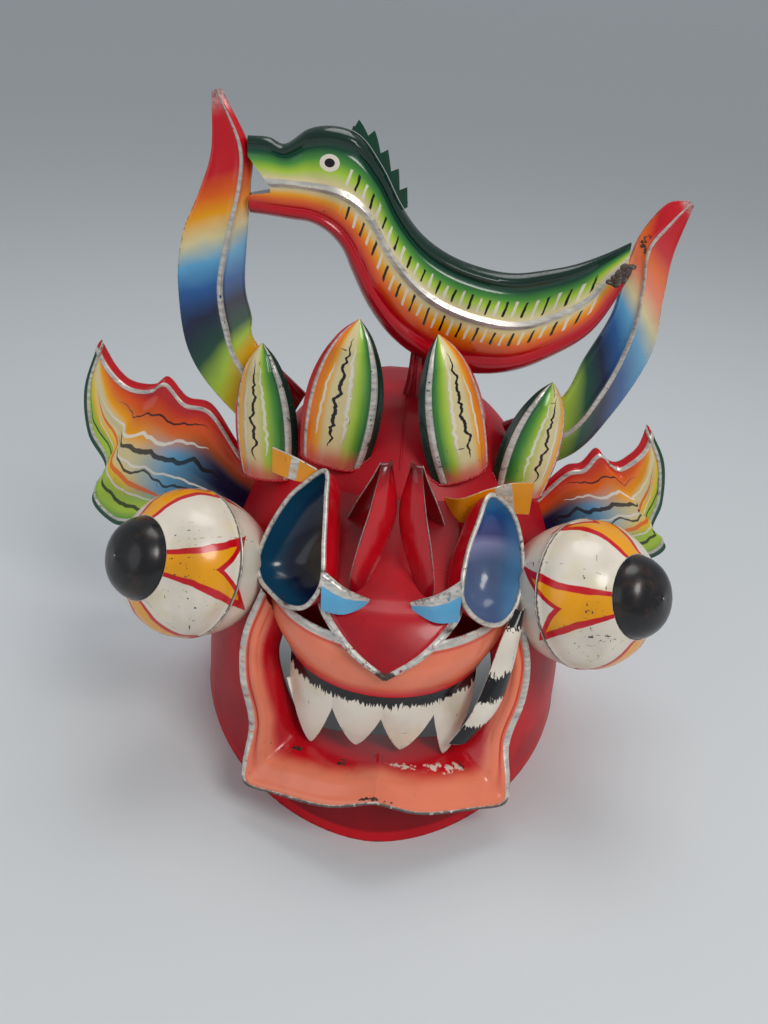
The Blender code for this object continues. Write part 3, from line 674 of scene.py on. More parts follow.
class Nodes:
    """Short ways to build a node tree."""

    def __init__(self, tree):
        self.tree = tree

    def put(self, socket, value):
        if isinstance(value, bpy.types.NodeSocket):
            self.tree.links.new(value, socket)
        else:
            socket.default_value = value

    def fill(self, node, values):
        """Put values into the named inputs of a node."""
        for key, value in values.items():
            self.put(node.inputs[key], value)

    def add(self, kind, values=(), **settings):
        node = self.tree.nodes.new(kind)
        for key, value in settings.items():
            setattr(node, key, value)
        for socket, value in zip(node.inputs, values):
            if value is not None:
                self.put(socket, value)
        return node

    def math(self, operation, *values):
        return self.add("ShaderNodeMath", values, operation=operation).outputs[0]

    def times(self, *values):
        total = values[0]
        for value in values[1:]:
            total = self.math("MULTIPLY", total, value)
        return total

    def plus(self, a, b):
        return self.math("ADD", a, b)

    def minus(self, a, b):
        return self.math("SUBTRACT", a, b)

    def off(self, value, centre):
        """How far a value is from a centre."""
        return self.math("ABSOLUTE", self.minus(value, centre))

    def either(self, *values):
        total = values[0]
        for value in values[1:]:
            total = self.math("MAXIMUM", total, value)
        return total

    def rise(self, value, low, high):
        """Nought below low, one above high."""
        node = self.add("ShaderNodeMapRange", (value, low, high, 0.0, 1.0), interpolation_type="SMOOTHSTEP")
        return node.outputs[0]

    def fall(self, value, low, high):
        return self.minus(1.0, self.rise(value, low, high))

    def between(self, value, low, high, soft):
        return self.times(self.rise(value, low - soft, low + soft),
                          self.fall(value, high - soft, high + soft))

    def ends(self, value, size):
        """One at nought and at one, nought between."""
        return self.either(self.fall(value, 0.0, size), self.rise(value, 1.0 - size, 1.0))

    def mix(self, share, under, over, blend="MIX"):
        node = self.tree.nodes.new("ShaderNodeMix")
        node.data_type, node.blend_type = "RGBA", blend
        for place, value in ((0, share), (6, under), (7, over)):
            self.put(node.inputs[place], value)
        return node.outputs[2]

    def paint(self, share, under, name):
        """A named paint over a colour."""
        return self.mix(share, under, linear(name))

    def ramp(self, place, *stops):
        """A blend of named paints, each at its place."""
        node = self.add("ShaderNodeValToRGB", (place,))
        ramp = node.color_ramp
        while len(ramp.elements) < len(stops):
            ramp.elements.new(0.5)
        for element, (at, name) in zip(ramp.elements, stops):
            element.position = at
            element.color = linear(name)
        return node.outputs[0]

    def noise(self, point, scale, detail=2.0, rough=0.5):
        return self.add("ShaderNodeTexNoise", (point, None, scale, detail, rough)).outputs[0]

    def drift(self, point, scale, amount, detail=2.0):
        """A soft unevenness about nought."""
        return self.times(self.minus(self.noise(point, scale, detail), 0.5), amount)

    def vectors(self, operation, *values, result=0):
        return self.add("ShaderNodeVectorMath", values, operation=operation).outputs[result]

    def group(self, name, **values):
        node = self.tree.nodes.new("ShaderNodeGroup")
        node.node_tree = bpy.data.node_groups[name]
        self.fill(node, values)
        return node.outputs


def give_socket(tree, key, kind, value=None, direction="INPUT"):
    """A named input or output of a node tree."""
    socket = tree.interface.new_socket(key, in_out=direction, socket_type="NodeSocket" + kind)
    if value is not None:
        socket.default_value = value


def shared(name, inputs, outputs, build):
    """A shader node group with named inputs and outputs."""
    tree = bpy.data.node_groups.new(name, "ShaderNodeTree")
    for key, kind, value in inputs:
        give_socket(tree, key, kind, value)
    for key, kind in outputs:
        give_socket(tree, key, kind, direction="OUTPUT")
    source, sink = tree.nodes.new("NodeGroupInput"), tree.nodes.new("NodeGroupOutput")
    nodes = Nodes(tree)
    for key, socket in build(nodes, source.outputs).items():
        tree.links.new(socket, sink.inputs[key])


def build_line(n, given):
    """A band across a coordinate."""
    off = n.off(given["Across"], given["Centre"])
    half = n.times(given["Width"], 0.5)
    return {"Mask": n.fall(off, n.minus(half, given["Soft"]), n.plus(half, given["Soft"]))}


def build_stroke(n, given):
    """A brush stroke along a coordinate, that wavers and thins out to its ends."""
    along = given["Along"]
    wobble = n.add("ShaderNodeTexNoise", noise_dimensions="1D")
    n.fill(wobble, {"W": n.plus(n.times(along, given["Waves"]), given["Seed"]), "Scale": 1.0,
                    "Detail": 1.5})
    wave = n.times(n.minus(wobble.outputs[0], 0.5), given["Wave"])
    middle = n.plus(n.plus(given["Centre"], n.times(given["Lean"], n.minus(along, given["Start"]))), wave)
    off = n.off(given["Across"], middle)
    run = n.math("DIVIDE", n.minus(along, given["Start"]), n.minus(given["End"], given["Start"]))
    inside = n.times(n.rise(run, 0.0, 0.02), n.fall(run, 0.98, 1.0))
    taper = n.math("POWER", n.times(n.rise(run, -0.02, 0.25), n.fall(run, 0.75, 1.02)), 0.5)
    pressure = n.plus(0.7, n.times(0.6, n.noise(given["Point"], 420.0, 1.0)))
    half = n.times(given["Width"], 0.5, taper, pressure)
    return {"Mask": n.times(n.fall(off, n.times(half, 0.75), n.times(half, 1.15)), inside)}


def build_wear(n, given):
    """Old enamel over tin: silver brushwork, chips, bare edges, scratches and grime."""
    point, chips = given["Point"], given["Chips"]
    cloud = n.noise(point, 26.0, 3.0)
    grain = n.noise(point, 330.0, 4.0, 0.62)
    specks = n.noise(point, 980.0, 2.0)
    flakes = n.plus(grain, n.times(n.minus(cloud, 0.5), 0.42))
    limit = n.minus(0.80, n.times(chips, 0.13))
    chipped = n.rise(flakes, limit, n.plus(limit, 0.012))
    edge = n.times(given["Bare"], n.rise(n.plus(grain, n.times(given["Bare"], 0.35)), 0.66, 0.70))
    nicks = []
    for stretch in ((520.0, 60.0, 95.0), (70.0, 110.0, 560.0)):
        nick = n.noise(n.vectors("MULTIPLY", point, stretch), 1.0, 2.0)
        nicks.append(n.times(n.rise(nick, 0.735, 0.75), given["Scratches"]))
    bare = n.either(chipped, edge, n.times(n.either(*nicks), n.rise(cloud, 0.48, 0.54)))
    silver = given["Silver"]
    streak = n.noise(n.vectors("MULTIPLY", point, (90.0, 90.0, 400.0)), 1.0, 3.0)
    worn_silver = n.times(silver, n.fall(n.plus(grain, n.times(cloud, 0.2)), 0.70, 0.78))
    metal = n.ramp(streak, (0.22, "tin"), (0.36, "silver"), (0.72, "white"))
    colour = n.mix(worn_silver, given["Colour"], metal)
    shade = n.ramp(specks, (0.3, "soot"), (0.5, "rust"), (0.72, "tin"))
    colour = n.mix(bare, colour, shade)
    dull = n.times(given["Grime"], n.rise(cloud, 0.42, 0.75))
    colour = n.mix(n.times(dull, 0.5), colour, linear("soot"), "MULTIPLY")
    smear = n.times(0.10, n.noise(point, 70.0, 3.0))
    gloss = n.plus(n.plus(given["Gloss"], smear), n.times(n.either(bare, n.times(worn_silver, 0.45)), 0.33))
    relief = n.minus(n.plus(n.times(specks, 0.06), n.times(worn_silver, 0.35)), n.times(bare, 0.9))
    metallic = n.either(n.times(worn_silver, 0.45), n.times(bare, 0.35))
    return {"Colour": colour, "Roughness": gloss, "Metal": metallic, "Height": relief}


shared("Line", (("Across", "Float", 0.0), ("Centre", "Float", 0.5), ("Width", "Float", 0.1),
                ("Soft", "Float", 0.005)), (("Mask", "Float"),), build_line)
shared("Stroke", (("Across", "Float", 0.0), ("Along", "Float", 0.0), ("Centre", "Float", 0.5),
                  ("Lean", "Float", 0.0), ("Wave", "Float", 0.1), ("Waves", "Float", 8.0),
                  ("Width", "Float", 0.03), ("Start", "Float", 0.1), ("End", "Float", 0.9),
                  ("Seed", "Float", 0.0), ("Point", "Vector", None)), (("Mask", "Float"),), build_stroke)
shared("Worn enamel", (("Colour", "Color", None), ("Silver", "Float", 0.0), ("Bare", "Float", 0.0),
                       ("Point", "Vector", None), ("Chips", "Float", 0.5), ("Scratches", "Float", 0.5),
                       ("Grime", "Float", 0.4), ("Gloss", "Float", 0.2)),
       (("Colour", "Color"), ("Roughness", "Float"), ("Metal", "Float"), ("Height", "Float")), build_wear)

UV_LAYERS = ("fractions", "reach")
EYE_SPOT = tuple(placed((-54.7, -15.0, 379.8)))
Spot = namedtuple("Spot", "u v near far point x y z")


def enamel(name, paint, chips=0.5, scratches=0.5, grime=0.4, gloss=0.17, coat=0.15, shine=0.5):
    """A worn enamel, from a function that gives its colour, its silver and its bare edges."""
    material = bpy.data.materials.new(name)
    material.use_nodes = True
    n = Nodes(material.node_tree)
    shader = material.node_tree.nodes["Principled BSDF"]
    point = n.add("ShaderNodeTexCoord").outputs["Object"]
    fractions, reach = (n.add("ShaderNodeUVMap", uv_map=layer).outputs[0] for layer in UV_LAYERS)
    (u, v, _), (near_edge, far_edge, _), (x, y, z) = (
        n.add("ShaderNodeSeparateXYZ", (vector,)).outputs for vector in (fractions, reach, point))
    spot = Spot(u, v, near_edge, far_edge, point, x, y, z)
    colour, silver, bare = paint(n, spot)
    made = n.group("Worn enamel", Colour=colour, Silver=silver, Bare=bare, Point=point, Chips=chips,
                   Scratches=scratches, Grime=grime, Gloss=gloss)
    lift = n.add("ShaderNodeBump")
    n.fill(lift, {"Strength": 0.55, "Distance": 0.35 * MM, "Height": made["Height"]})
    n.fill(shader, {"Base Color": made["Colour"], "Roughness": made["Roughness"],
                    "Metallic": made["Metal"], "Normal": lift.outputs[0], "Coat Weight": coat,
                    "Coat Roughness": 0.08, "IOR": 1.5, "Specular IOR Level": shine})
    return material


def line(n, across, centre, width, soft=0.006):
    return n.group("Line", Across=across, Centre=centre, Width=width, Soft=soft)["Mask"]


def stroke(n, spot, across, along, **values):
    return n.group("Stroke", Across=across, Along=along, Point=spot.point, **values)["Mask"]


def patch(n, spot, u, v, u_size, v_size):
    """A ragged patch about a place on a piece."""
    off = n.plus(n.math("POWER", n.math("DIVIDE", n.off(spot.u, u), u_size), 2.0),
                 n.math("POWER", n.math("DIVIDE", n.off(spot.v, v), v_size), 2.0))
    return n.rise(n.minus(n.noise(spot.point, 260.0, 4.0, 0.65), n.times(off, 0.22)), 0.44, 0.47)


def plain(name, *others):
    """A paint function of one colour, clouded with others."""
    def paint(n, spot):
        colour = linear(name)
        for i, other in enumerate(others):
            cloud = n.noise(spot.point, 14.0 + 9.0 * i, 3.0)
            colour = n.paint(n.times(n.rise(cloud, 0.45, 0.7), 0.6), colour, other)
        return colour, 0.0, 0.0
    return paint


def tin_paint(n, spot):
    """Bare tin gone brown, with the red that drifted onto it."""
    patches = n.noise(spot.point, 22.0, 5.0, 0.6)
    colour = n.ramp(patches, (0.3, "tin"), (0.5, "rust"), (0.68, "soot"))
    drift = n.times(n.rise(n.noise(spot.point, 9.0, 2.0), 0.5, 0.7), 0.55)
    return n.paint(drift, colour, "wine"), n.times(n.fall(patches, 0.38, 0.5), 0.6), 0.0


def shell_paint(n, spot):
    hem = n.fall(spot.z, 0.006, 0.009)
    cloud = n.noise(spot.point, 11.0, 4.0)
    colour = n.ramp(cloud, (0.3, "crimson"), (0.62, "red"), (0.8, "crimson"))
    # Painted shade: the chin is darkened towards wine under the overhang of the lower lip's collar.
    shade_under_collar = n.times(n.fall(spot.z, 0.03, 0.055), n.fall(n.off(spot.x, 0.011), 0.05, 0.075))
    front = n.fall(spot.y, -0.07, -0.05)
    colour = n.paint(n.times(shade_under_collar, front, 0.55), colour, "wine")
    # Painted shade: the crown is darkened towards crimson, to hold back the wash of the lamp from above.
    crown = n.times(n.rise(spot.z, 0.15, 0.21), 0.35)
    colour = n.paint(crown, colour, "crimson")
    return n.paint(hem, colour, "red"), 0.0, n.times(n.fall(spot.z, 0.0, 0.003), 0.6)


def flare_paint(n, spot):
    across = n.off(n.times(spot.u, 2.0), 1.0)
    side = n.rise(across, 0.28, 0.5)
    out = n.plus(spot.v, n.drift(spot.point, 30.0, 0.16, 3.0))
    deep = n.minus(0.50, n.times(side, 0.06))
    red = n.fall(out, n.minus(deep, 0.10), n.plus(deep, 0.12))
    trench = n.times(side, line(n, out, 0.79, 0.10, 0.035))
    colour = n.paint(n.either(red, n.times(trench, 0.85)), linear("salmon"), "red")
    # Painted shade: at the sides the inner edge by the mouth hole is darkened towards wine.
    colour = n.paint(n.times(n.fall(spot.v, 0.0, 0.12), side, 0.7), colour, "wine")
    silver = n.rise(spot.v, n.minus(0.955, n.times(side, 0.085)), n.minus(0.965, n.times(side, 0.085)))
    bottom = n.times(n.fall(across, 0.3, 0.4), n.rise(spot.v, 0.93, 0.99))
    flaked = n.either(patch(n, spot, 0.60, 0.42, 0.045, 0.10), patch(n, spot, 0.54, 0.40, 0.03, 0.05))
    colour = n.paint(n.times(flaked, 0.85), colour, "ivory")
    chipped = n.either(patch(n, spot, 0.372, 0.36, 0.016, 0.10), patch(n, spot, 0.45, 0.40, 0.012, 0.06),
                       patch(n, spot, 0.632, 0.38, 0.014, 0.10), patch(n, spot, 0.50, 0.93, 0.03, 0.03))
    return colour, silver, n.either(n.times(bottom, 0.9), n.times(n.rise(spot.v, 0.97, 1.0), 0.5), chipped)


def lip_paint(n, spot):
    colour = n.paint(n.rise(spot.v, 0.72, 0.99), linear("salmon"), "red")
    colour = n.paint(n.times(line(n, spot.v, 0.17, 0.05, 0.03), 0.6), colour, "red")
    return colour, n.fall(spot.v, 0.13, 0.145), n.times(n.fall(spot.v, 0.0, 0.06), 0.5)


def nose_paint(n, spot):
    cloud = n.noise(spot.point, 20.0, 4.0)
    colour = n.ramp(cloud, (0.35, "crimson"), (0.7, "red"))
    colour = n.paint(n.times(n.fall(spot.v, 0.1, 0.5), 0.55), colour, "wine")
    low = n.rise(spot.v, 0.50, 0.53)
    silver = n.times(n.fall(spot.near, 0.44, 0.47), low)
    # Painted highlight: a brighter red band just inside the silver edges on the lower nose.
    highlight_band = n.times(line(n, spot.near, 0.62, 0.28, 0.12), low)
    colour = n.paint(n.times(highlight_band, 0.5), colour, "red")
    return colour, silver, n.either(n.times(n.rise(spot.v, 0.955, 0.975), 0.95), n.times(silver, 0.30))


def tooth_paint(n, spot):
    ragged = n.drift(n.vectors("MULTIPLY", spot.point, (900.0, 300.0, 60.0)), 1.0, 0.014)
    gum = n.rise(n.plus(spot.z, ragged), 0.0940, 0.0946)
    stain = n.times(n.rise(n.noise(spot.point, 55.0, 3.0), 0.5, 0.68), 0.35)
    colour = n.paint(stain, linear("ivory"), "cream")
    return n.paint(gum, colour, "black"), 0.0, n.times(n.rise(spot.v, 0.9, 1.0), 0.35)


def bowl_paint(side):
    def paint(n, spot):
        if side == "left":
            # The left bowl is a shaded copy of the blue: painted shade, teal at the rim going through navy to
            # black in its depth and towards the inner wall.
            place = n.plus(spot.v, n.times(n.minus(spot.x, -0.055), 7.0))
            colour = n.ramp(place, (0.0, "teal"), (0.30, "teal"), (0.58, "navy"), (0.9, "black"))
        else:
            # The right bowl runs from steel below to sky blue at the top; its lilac band is a painted
            # highlight along the crease.
            place = n.plus(n.times(n.minus(spot.z, 0.142), 14.9), n.times(n.noise(spot.point, 30.0), 0.08))
            colour = n.ramp(place, (0.06, "steel"), (0.30, "steel"), (0.46, "lilac"), (0.56, "violet"),
                            (0.76, "blue"), (0.97, "sky"))
            colour = n.paint(n.times(n.rise(spot.x, 0.074, 0.088), 0.6), colour, "sky")
        return colour, 0.0, 0.0
    return paint


def rim_paint(n, spot):
    return linear("tin"), 1.0, 0.25


def flap_paint(n, spot):
    silver = n.fall(n.plus(spot.u, n.times(n.noise(spot.point, 120.0), 0.1)), 0.37, 0.41)
    return linear("sky"), silver, n.times(n.fall(spot.u, 0.05, 0.45), 0.5)


def fin_paint(n, spot):
    colour = n.ramp(spot.v, (0.0, "crimson"), (0.2, "red"), (0.5, "red"), (0.6, "wine"), (1.0, "crimson"))
    fold = n.either(n.fall(spot.u, 0.02, 0.10), n.rise(spot.u, 0.90, 0.98))
    return colour, 0.0, n.times(fold, 0.62)


def flame(n, spot, along, turned):
    """Four swallow-tailed flames round the pupil: the yellow and its red outline.
    along is the way from the pupil, one at the seam round the eye."""
    quarter = n.minus(n.math("FRACT", n.plus(n.times(n.plus(spot.u, turned), 4.0), 0.5)), 0.5)
    off = n.math("ABSOLUTE", quarter)
    half = n.plus(0.165, n.times(0.15, n.math("POWER", n.math("MAXIMUM", n.minus(along, 0.3), 0.0), 1.4)))
    notch = n.plus(0.66, n.times(n.math("DIVIDE", off, half), 0.50))
    tail = n.plus(notch, n.times(quarter, 0.42))
    inside = n.math("MINIMUM", n.times(n.minus(half, off), 62.0), n.times(n.minus(tail, along), 34.0))
    depth = n.plus(inside, n.drift(spot.point, 85.0, 2.4))
    return n.rise(depth, -0.1, 0.3), line(n, depth, 0.15, 4.0, 0.3)


def eye_paint(side, front):
    turned = 0.055 if side == "left" else -0.03

    def paint(n, spot):
        stain = n.times(n.rise(n.noise(spot.point, 45.0, 4.0), 0.45, 0.72), 0.5)
        colour = n.paint(stain, linear("ivory"), "cream")
        if front:
            along = n.minus(1.0, spot.v)
        else:
            along = n.plus(1.0, n.times(n.minus(1.0, spot.v), 1.3))
            blush = n.fall(spot.v, 0.12, 0.80)
            colour = n.paint(n.times(blush, 0.9), colour, "pink")
            colour = n.paint(n.fall(spot.v, 0.0, 0.35), colour, "crimson")
        yellow, outline = flame(n, spot, along, turned)
        colour = n.paint(yellow, colour, "amber")
        colour = n.paint(outline, colour, "red")
        gore = line(n, n.math("FRACT", n.times(spot.u, 4.0)), 0.5, 0.012, 0.003)
        seam = n.fall(spot.v, 0.015, 0.03) if front else n.rise(spot.v, 0.975, 0.99)
        return colour, 0.0, n.either(n.times(seam, 0.75), n.times(gore, 0.45))
    return paint


def pupil_paint(n, spot):
    worn = n.rise(n.noise(spot.point, 75.0, 4.0, 0.6), 0.52, 0.66)
    return n.paint(n.times(worn, 0.35), linear("black"), "rust"), 0.0, n.times(n.rise(spot.v, 0.2, 0.9), 0.25)


def leaf_paint(leaf):
    """A crown leaf, painted from its outer flange towards the middle of the mask."""
    inner = leaf.place == "inner"

    def paint(n, spot):
        c = spot.u if leaf.side == "left" else n.minus(1.0, spot.u)
        if inner:
            colour = n.ramp(c, (0.05, "red"), (0.12, "orange"), (0.26, "amber"), (0.36, "cream"),
                            (0.56, "cream"), (0.68, "lime"), (0.79, "leaf"), (0.86, "forest"),
                            (0.96, "pine"))
        else:
            colour = n.ramp(c, (0.04, "pink"), (0.13, "amber"), (0.24, "cream"), (0.46, "cream"),
                            (0.60, "lime"), (0.74, "leaf"), (0.86, "forest"), (0.96, "pine"))
        blush = n.fall(n.plus(spot.v, n.drift(spot.point, 40.0, 0.06)), 0.02, 0.17)
        colour = n.paint(n.times(blush, n.fall(c, 0.8, 0.88), 0.8), colour, "pink")
        light = stroke(n, spot, c, spot.v, Centre=0.60, Lean=-0.06, Wave=0.10, Waves=13.0, Width=0.05,
                       Start=0.18, End=0.86, Seed=3.0)
        edge = stroke(n, spot, c, spot.v, Centre=0.24, Lean=0.06, Wave=0.06, Waves=9.0, Width=0.034,
                      Start=0.2, End=0.72, Seed=7.5)
        dark = stroke(n, spot, c, spot.v, Centre=0.42 if inner else 0.38, Lean=0.05, Wave=0.22, Waves=12.0,
                      Width=0.052, Start=0.14, End=0.90, Seed=5.0 + leaf.width)
        colour = n.paint(n.times(n.either(light, edge), 0.85), colour, "white")
        colour = n.paint(dark, colour, "black")
        ribs = n.either(line(n, c, 0.105, 0.05), line(n, c, 0.885, 0.075))
        return colour, ribs, n.times(n.ends(c, 0.05), 0.45)
    return paint


EarMark = namedtuple("EarMark", "paint centre lean wave width start end seed")
EAR_MARKS = (EarMark("orange", 0.28, 0.26, 0.03, 0.034, 0.34, 0.86, 1.0),
             EarMark("white", 0.22, 0.24, 0.05, 0.020, 0.36, 0.80, 6.0),
             EarMark("white", 0.75, -0.46, 0.07, 0.026, 0.26, 0.86, 9.0),
             EarMark("white", 0.47, -0.10, 0.08, 0.020, 0.20, 0.66, 2.0),
             EarMark("black", 0.62, -0.22, 0.12, 0.036, 0.18, 0.68, 4.0),
             EarMark("black", 0.38, 0.08, 0.10, 0.019, 0.20, 0.70, 8.0),
             EarMark("black", 0.13, 0.16, 0.10, 0.028, 0.32, 0.90, 3.0),
             EarMark("black", 0.86, -0.34, 0.09, 0.014, 0.28, 0.76, 5.0))


def ear_paint(n, spot):
    up, out = spot.v, spot.u
    wash = n.plus(up, n.drift(spot.point, 26.0, 0.10))
    colour = n.ramp(wash, (0.04, "leaf"), (0.12, "lime"), (0.24, "lime"), (0.32, "yellow"), (0.40, "cream"),
                    (0.52, "cream"), (0.60, "amber"), (0.76, "orange"), (0.92, "red"))
    root = n.times(n.fall(out, 0.36, 0.56), n.between(up, 0.26, 0.68, 0.08))
    colour = n.paint(root, colour, "sky")
    colour = n.paint(n.times(n.fall(out, 0.20, 0.44), n.between(up, 0.22, 0.76, 0.10)), colour, "navy")
    for mark in EAR_MARKS:
        drawn = stroke(n, spot, up, out, Centre=mark.centre, Lean=mark.lean, Wave=mark.wave, Waves=12.0,
                       Width=mark.width, Start=mark.start, End=mark.end, Seed=mark.seed)
        colour = n.paint(n.times(drawn, 0.9), colour, mark.paint)
    colour = n.paint(n.fall(spot.near, 0.42, 0.50), colour, "forest")
    colour = n.paint(n.fall(spot.far, 0.42, 0.50), colour, "red")
    lower = n.times(line(n, spot.near, 0.62, 0.26, 0.02), n.rise(out, 0.40, 0.47))
    ribs = n.either(lower, line(n, spot.far, 0.62, 0.26, 0.02))
    return colour, ribs, n.times(n.fall(n.math("MINIMUM", spot.near, spot.far), 0.0, 0.12), 0.5)


def horn_paint(side):
    def paint(n, spot):
        facet = n.times(n.minus(spot.u, 0.5), -0.06 if side == "left" else 0.14)
        place = n.plus(n.plus(spot.v, facet), n.drift(spot.point, 32.0, 0.05))
        if side == "left":
            colour = n.ramp(place, (0.00, "orange"), (0.09, "amber"), (0.17, "lime"), (0.24, "forest"),
                            (0.33, "navy"), (0.41, "blue"), (0.48, "sky"), (0.54, "cream"),
                            (0.62, "amber"), (0.70, "orange"), (0.79, "red"))
        else:
            colour = n.ramp(place, (0.02, "yellow"), (0.10, "lime"), (0.19, "forest"), (0.27, "navy"),
                            (0.36, "blue"), (0.45, "sky"), (0.53, "cream"), (0.62, "salmon"),
                            (0.70, "orange"), (0.78, "red"))
        # Painted highlight: the facet right of the ridge is paled towards white, where the light from the
        # right falls.
        right_facet_sheen = n.times(n.rise(spot.u, 0.52, 0.60), n.between(spot.v, 0.2, 0.75, 0.1), 0.08)
        colour = n.paint(right_facet_sheen, colour, "white")
        colour = n.paint(n.fall(spot.v, 0.04, 0.09), colour, "crimson")
        ridge = n.times(line(n, spot.u, 0.5, 0.085, 0.01), n.rise(spot.v, 0.05, 0.08))
        rust = patch(n, spot, 0.30, 0.74, 0.30, 0.06) if side == "right" else 0.0
        tip = n.rise(spot.v, 0.93, 1.0)
        bare = n.either(rust, n.times(tip, 0.55), n.times(n.ends(spot.u, 0.03), 0.5))
        return colour, n.either(ridge, n.times(tip, 0.6)), bare
    return paint


def serpent_paint(n, spot):
    q, along = spot.u, spot.v
    wash = n.plus(q, n.drift(spot.point, 34.0, 0.035))
    colour = n.ramp(wash, (0.09, "pine"), (0.17, "forest"), (0.25, "leaf"), (0.34, "lime"), (0.43, "cream"),
                    (0.56, "cream"), (0.63, "amber"), (0.71, "orange"), (0.81, "red"), (0.97, "crimson"))
    pace = n.times(n.minus(spot.x, n.times(spot.z, 0.3)), 1000.0 / 11.5)
    phase = n.minus(n.math("FRACT", pace), 0.5)
    stagger = n.minus(n.math("FRACT", n.plus(pace, 0.5)), 0.5)
    jitter = n.drift(spot.point, 110.0, 0.16, 1.0)
    body = n.between(along, 0.235, 0.93, 0.006)
    row = n.plus(q, n.times(jitter, 0.5))
    rows = n.either(n.between(row, 0.27, 0.425, 0.008), n.between(row, 0.575, 0.70, 0.008))
    pressure = n.plus(0.02, n.times(0.13, n.noise(spot.point, 160.0, 1.0)))
    white = n.fall(n.math("ABSOLUTE", n.plus(phase, jitter)), n.times(pressure, 0.7), pressure)
    black = n.fall(n.math("ABSOLUTE", n.plus(stagger, jitter)), n.times(pressure, 0.6),
                   n.times(pressure, 0.9))
    colour = n.paint(n.times(white, rows, body, 0.9), colour, "ivory")
    colour = n.paint(n.times(black, rows, body), colour, "black")
    away = n.vectors("SUBTRACT", spot.point, EYE_SPOT)
    radius = n.vectors("LENGTH", n.vectors("MULTIPLY", away, (1.0, 0.0, 1.25)), result="Value")
    colour = n.paint(n.fall(radius, 0.0056, 0.0060), colour, "ivory")
    colour = n.paint(n.fall(radius, 0.0028, 0.0032), colour, "black")
    ridge = n.either(line(n, q, 0.5, 0.084), n.times(line(n, q, 0.5, 0.11), n.fall(along, 0.085, 0.12)))
    return colour, ridge, n.times(n.ends(q, 0.05), 0.3)


def crest_paint(n, spot):
    colour = n.paint(n.times(n.noise(spot.point, 120.0), 0.5), linear("forest"), "pine")
    return colour, 0.0, n.times(n.rise(spot.v, 0.7, 1.0), 0.5)


def brow_paint(side):
    stripe = 0.55 if side == "left" else 0.78

    def paint(n, spot):
        band = line(n, n.plus(spot.v, n.times(spot.u, 0.08)), stripe, 0.17, 0.012)
        colour = n.paint(n.times(n.noise(spot.point, 60.0), 0.35), linear("amber"), "orange")
        return colour, band, n.times(n.ends(spot.u, 0.08), 0.4)
    return paint


def tusk_paint(n, spot):
    along = n.plus(spot.v, n.drift(n.vectors("MULTIPLY", spot.point, (700.0, 700.0, 60.0)), 1.0, 0.16))
    bands = n.either(n.fall(along, 0.16, 0.18), n.between(along, 0.46, 0.64, 0.01), n.rise(along, 0.82, 0.84))
    return n.paint(bands, linear("ivory"), "black"), 0.0, n.times(n.ends(spot.u, 0.06), 0.4)


def post_paint(n, spot):
    worn = n.times(n.rise(n.noise(spot.point, 150.0, 3.0), 0.45, 0.7), 0.5)
    return n.paint(worn, linear("crimson"), "pink"), 0.0, n.times(n.fall(spot.z, 0.236, 0.244), 0.6)


def solder_paint(n, spot):
    return n.ramp(n.noise(spot.point, 210.0, 4.0), (0.35, "soot"), (0.5, "rust"), (0.66, "tin")), 0.35, 0.8


# Repeated and rolled parts, as Geometry Nodes

def shape_tree(title, result, values, build):
    """Geometry Nodes that turn the edges of a mesh, as curves, into painted shapes."""
    tree = bpy.data.node_groups.new(title, "GeometryNodeTree")
    give_socket(tree, "Paths", "Geometry")
    for key, kind, value in values:
        give_socket(tree, key, kind, value)
    give_socket(tree, "Paint", "Material")
    give_socket(tree, result, "Geometry", direction="OUTPUT")
    n = Nodes(tree)
    given, sink = tree.nodes.new("NodeGroupInput").outputs, tree.nodes.new("NodeGroupOutput")
    curve = n.add("GeometryNodeMeshToCurve", (given["Paths"],)).outputs[0]
    smooth = n.add("GeometryNodeSetShadeSmooth", (build(n, given, curve),)).outputs[0]
    real = n.add("GeometryNodeRealizeInstances", (smooth,)).outputs[0]
    painted = n.add("GeometryNodeSetMaterial")
    n.fill(painted, {"Geometry": real, "Material": given["Paint"]})
    n.put(sink.inputs[result], painted.outputs[0])
    return tree


def build_roll(n, given, curve):
    """A round rolled rim, a little uneven."""
    noise = n.add("ShaderNodeTexNoise")
    n.put(noise.inputs["Scale"], 140.0)
    uneven = n.plus(1.0, n.times(n.minus(noise.outputs[0], 0.5), given["Wear"]))
    sized = n.add("GeometryNodeSetCurveRadius")
    n.fill(sized, {"Curve": curve, "Radius": uneven})
    profile = n.add("GeometryNodeCurvePrimitiveCircle")
    n.fill(profile, {"Resolution": given["Sides"], "Radius": given["Radius"]})
    tube = n.add("GeometryNodeCurveToMesh")
    n.fill(tube, {"Curve": sized.outputs[0], "Profile Curve": profile.outputs[0], "Fill Caps": True})
    if "Scale" in tube.inputs:
        n.put(tube.inputs["Scale"], n.add("GeometryNodeInputRadius").outputs[0])
    return tube.outputs[0]


def build_beads(n, given, curve):
    """Uneven beads of solder."""
    points = n.add("GeometryNodeCurveToPoints", mode="LENGTH")
    n.fill(points, {"Curve": curve, "Length": given["Spacing"]})
    bead = n.add("GeometryNodeMeshIcoSphere")
    n.fill(bead, {"Radius": given["Size"], "Subdivisions": 2})
    scatter = n.add("GeometryNodeInstanceOnPoints")
    n.fill(scatter, {"Points": points.outputs["Points"], "Instance": bead.outputs[0],
                     "Rotation": points.outputs["Rotation"]})
    size = n.add("FunctionNodeRandomValue", data_type="FLOAT_VECTOR")
    n.put(size.inputs[0], (0.6, 0.6, 1.1))
    n.put(size.inputs[1], (1.1, 1.1, 1.7))
    n.put(size.inputs["Seed"], given["Seed"])
    n.put(scatter.inputs["Scale"], size.outputs[0])
    return scatter.outputs[0]


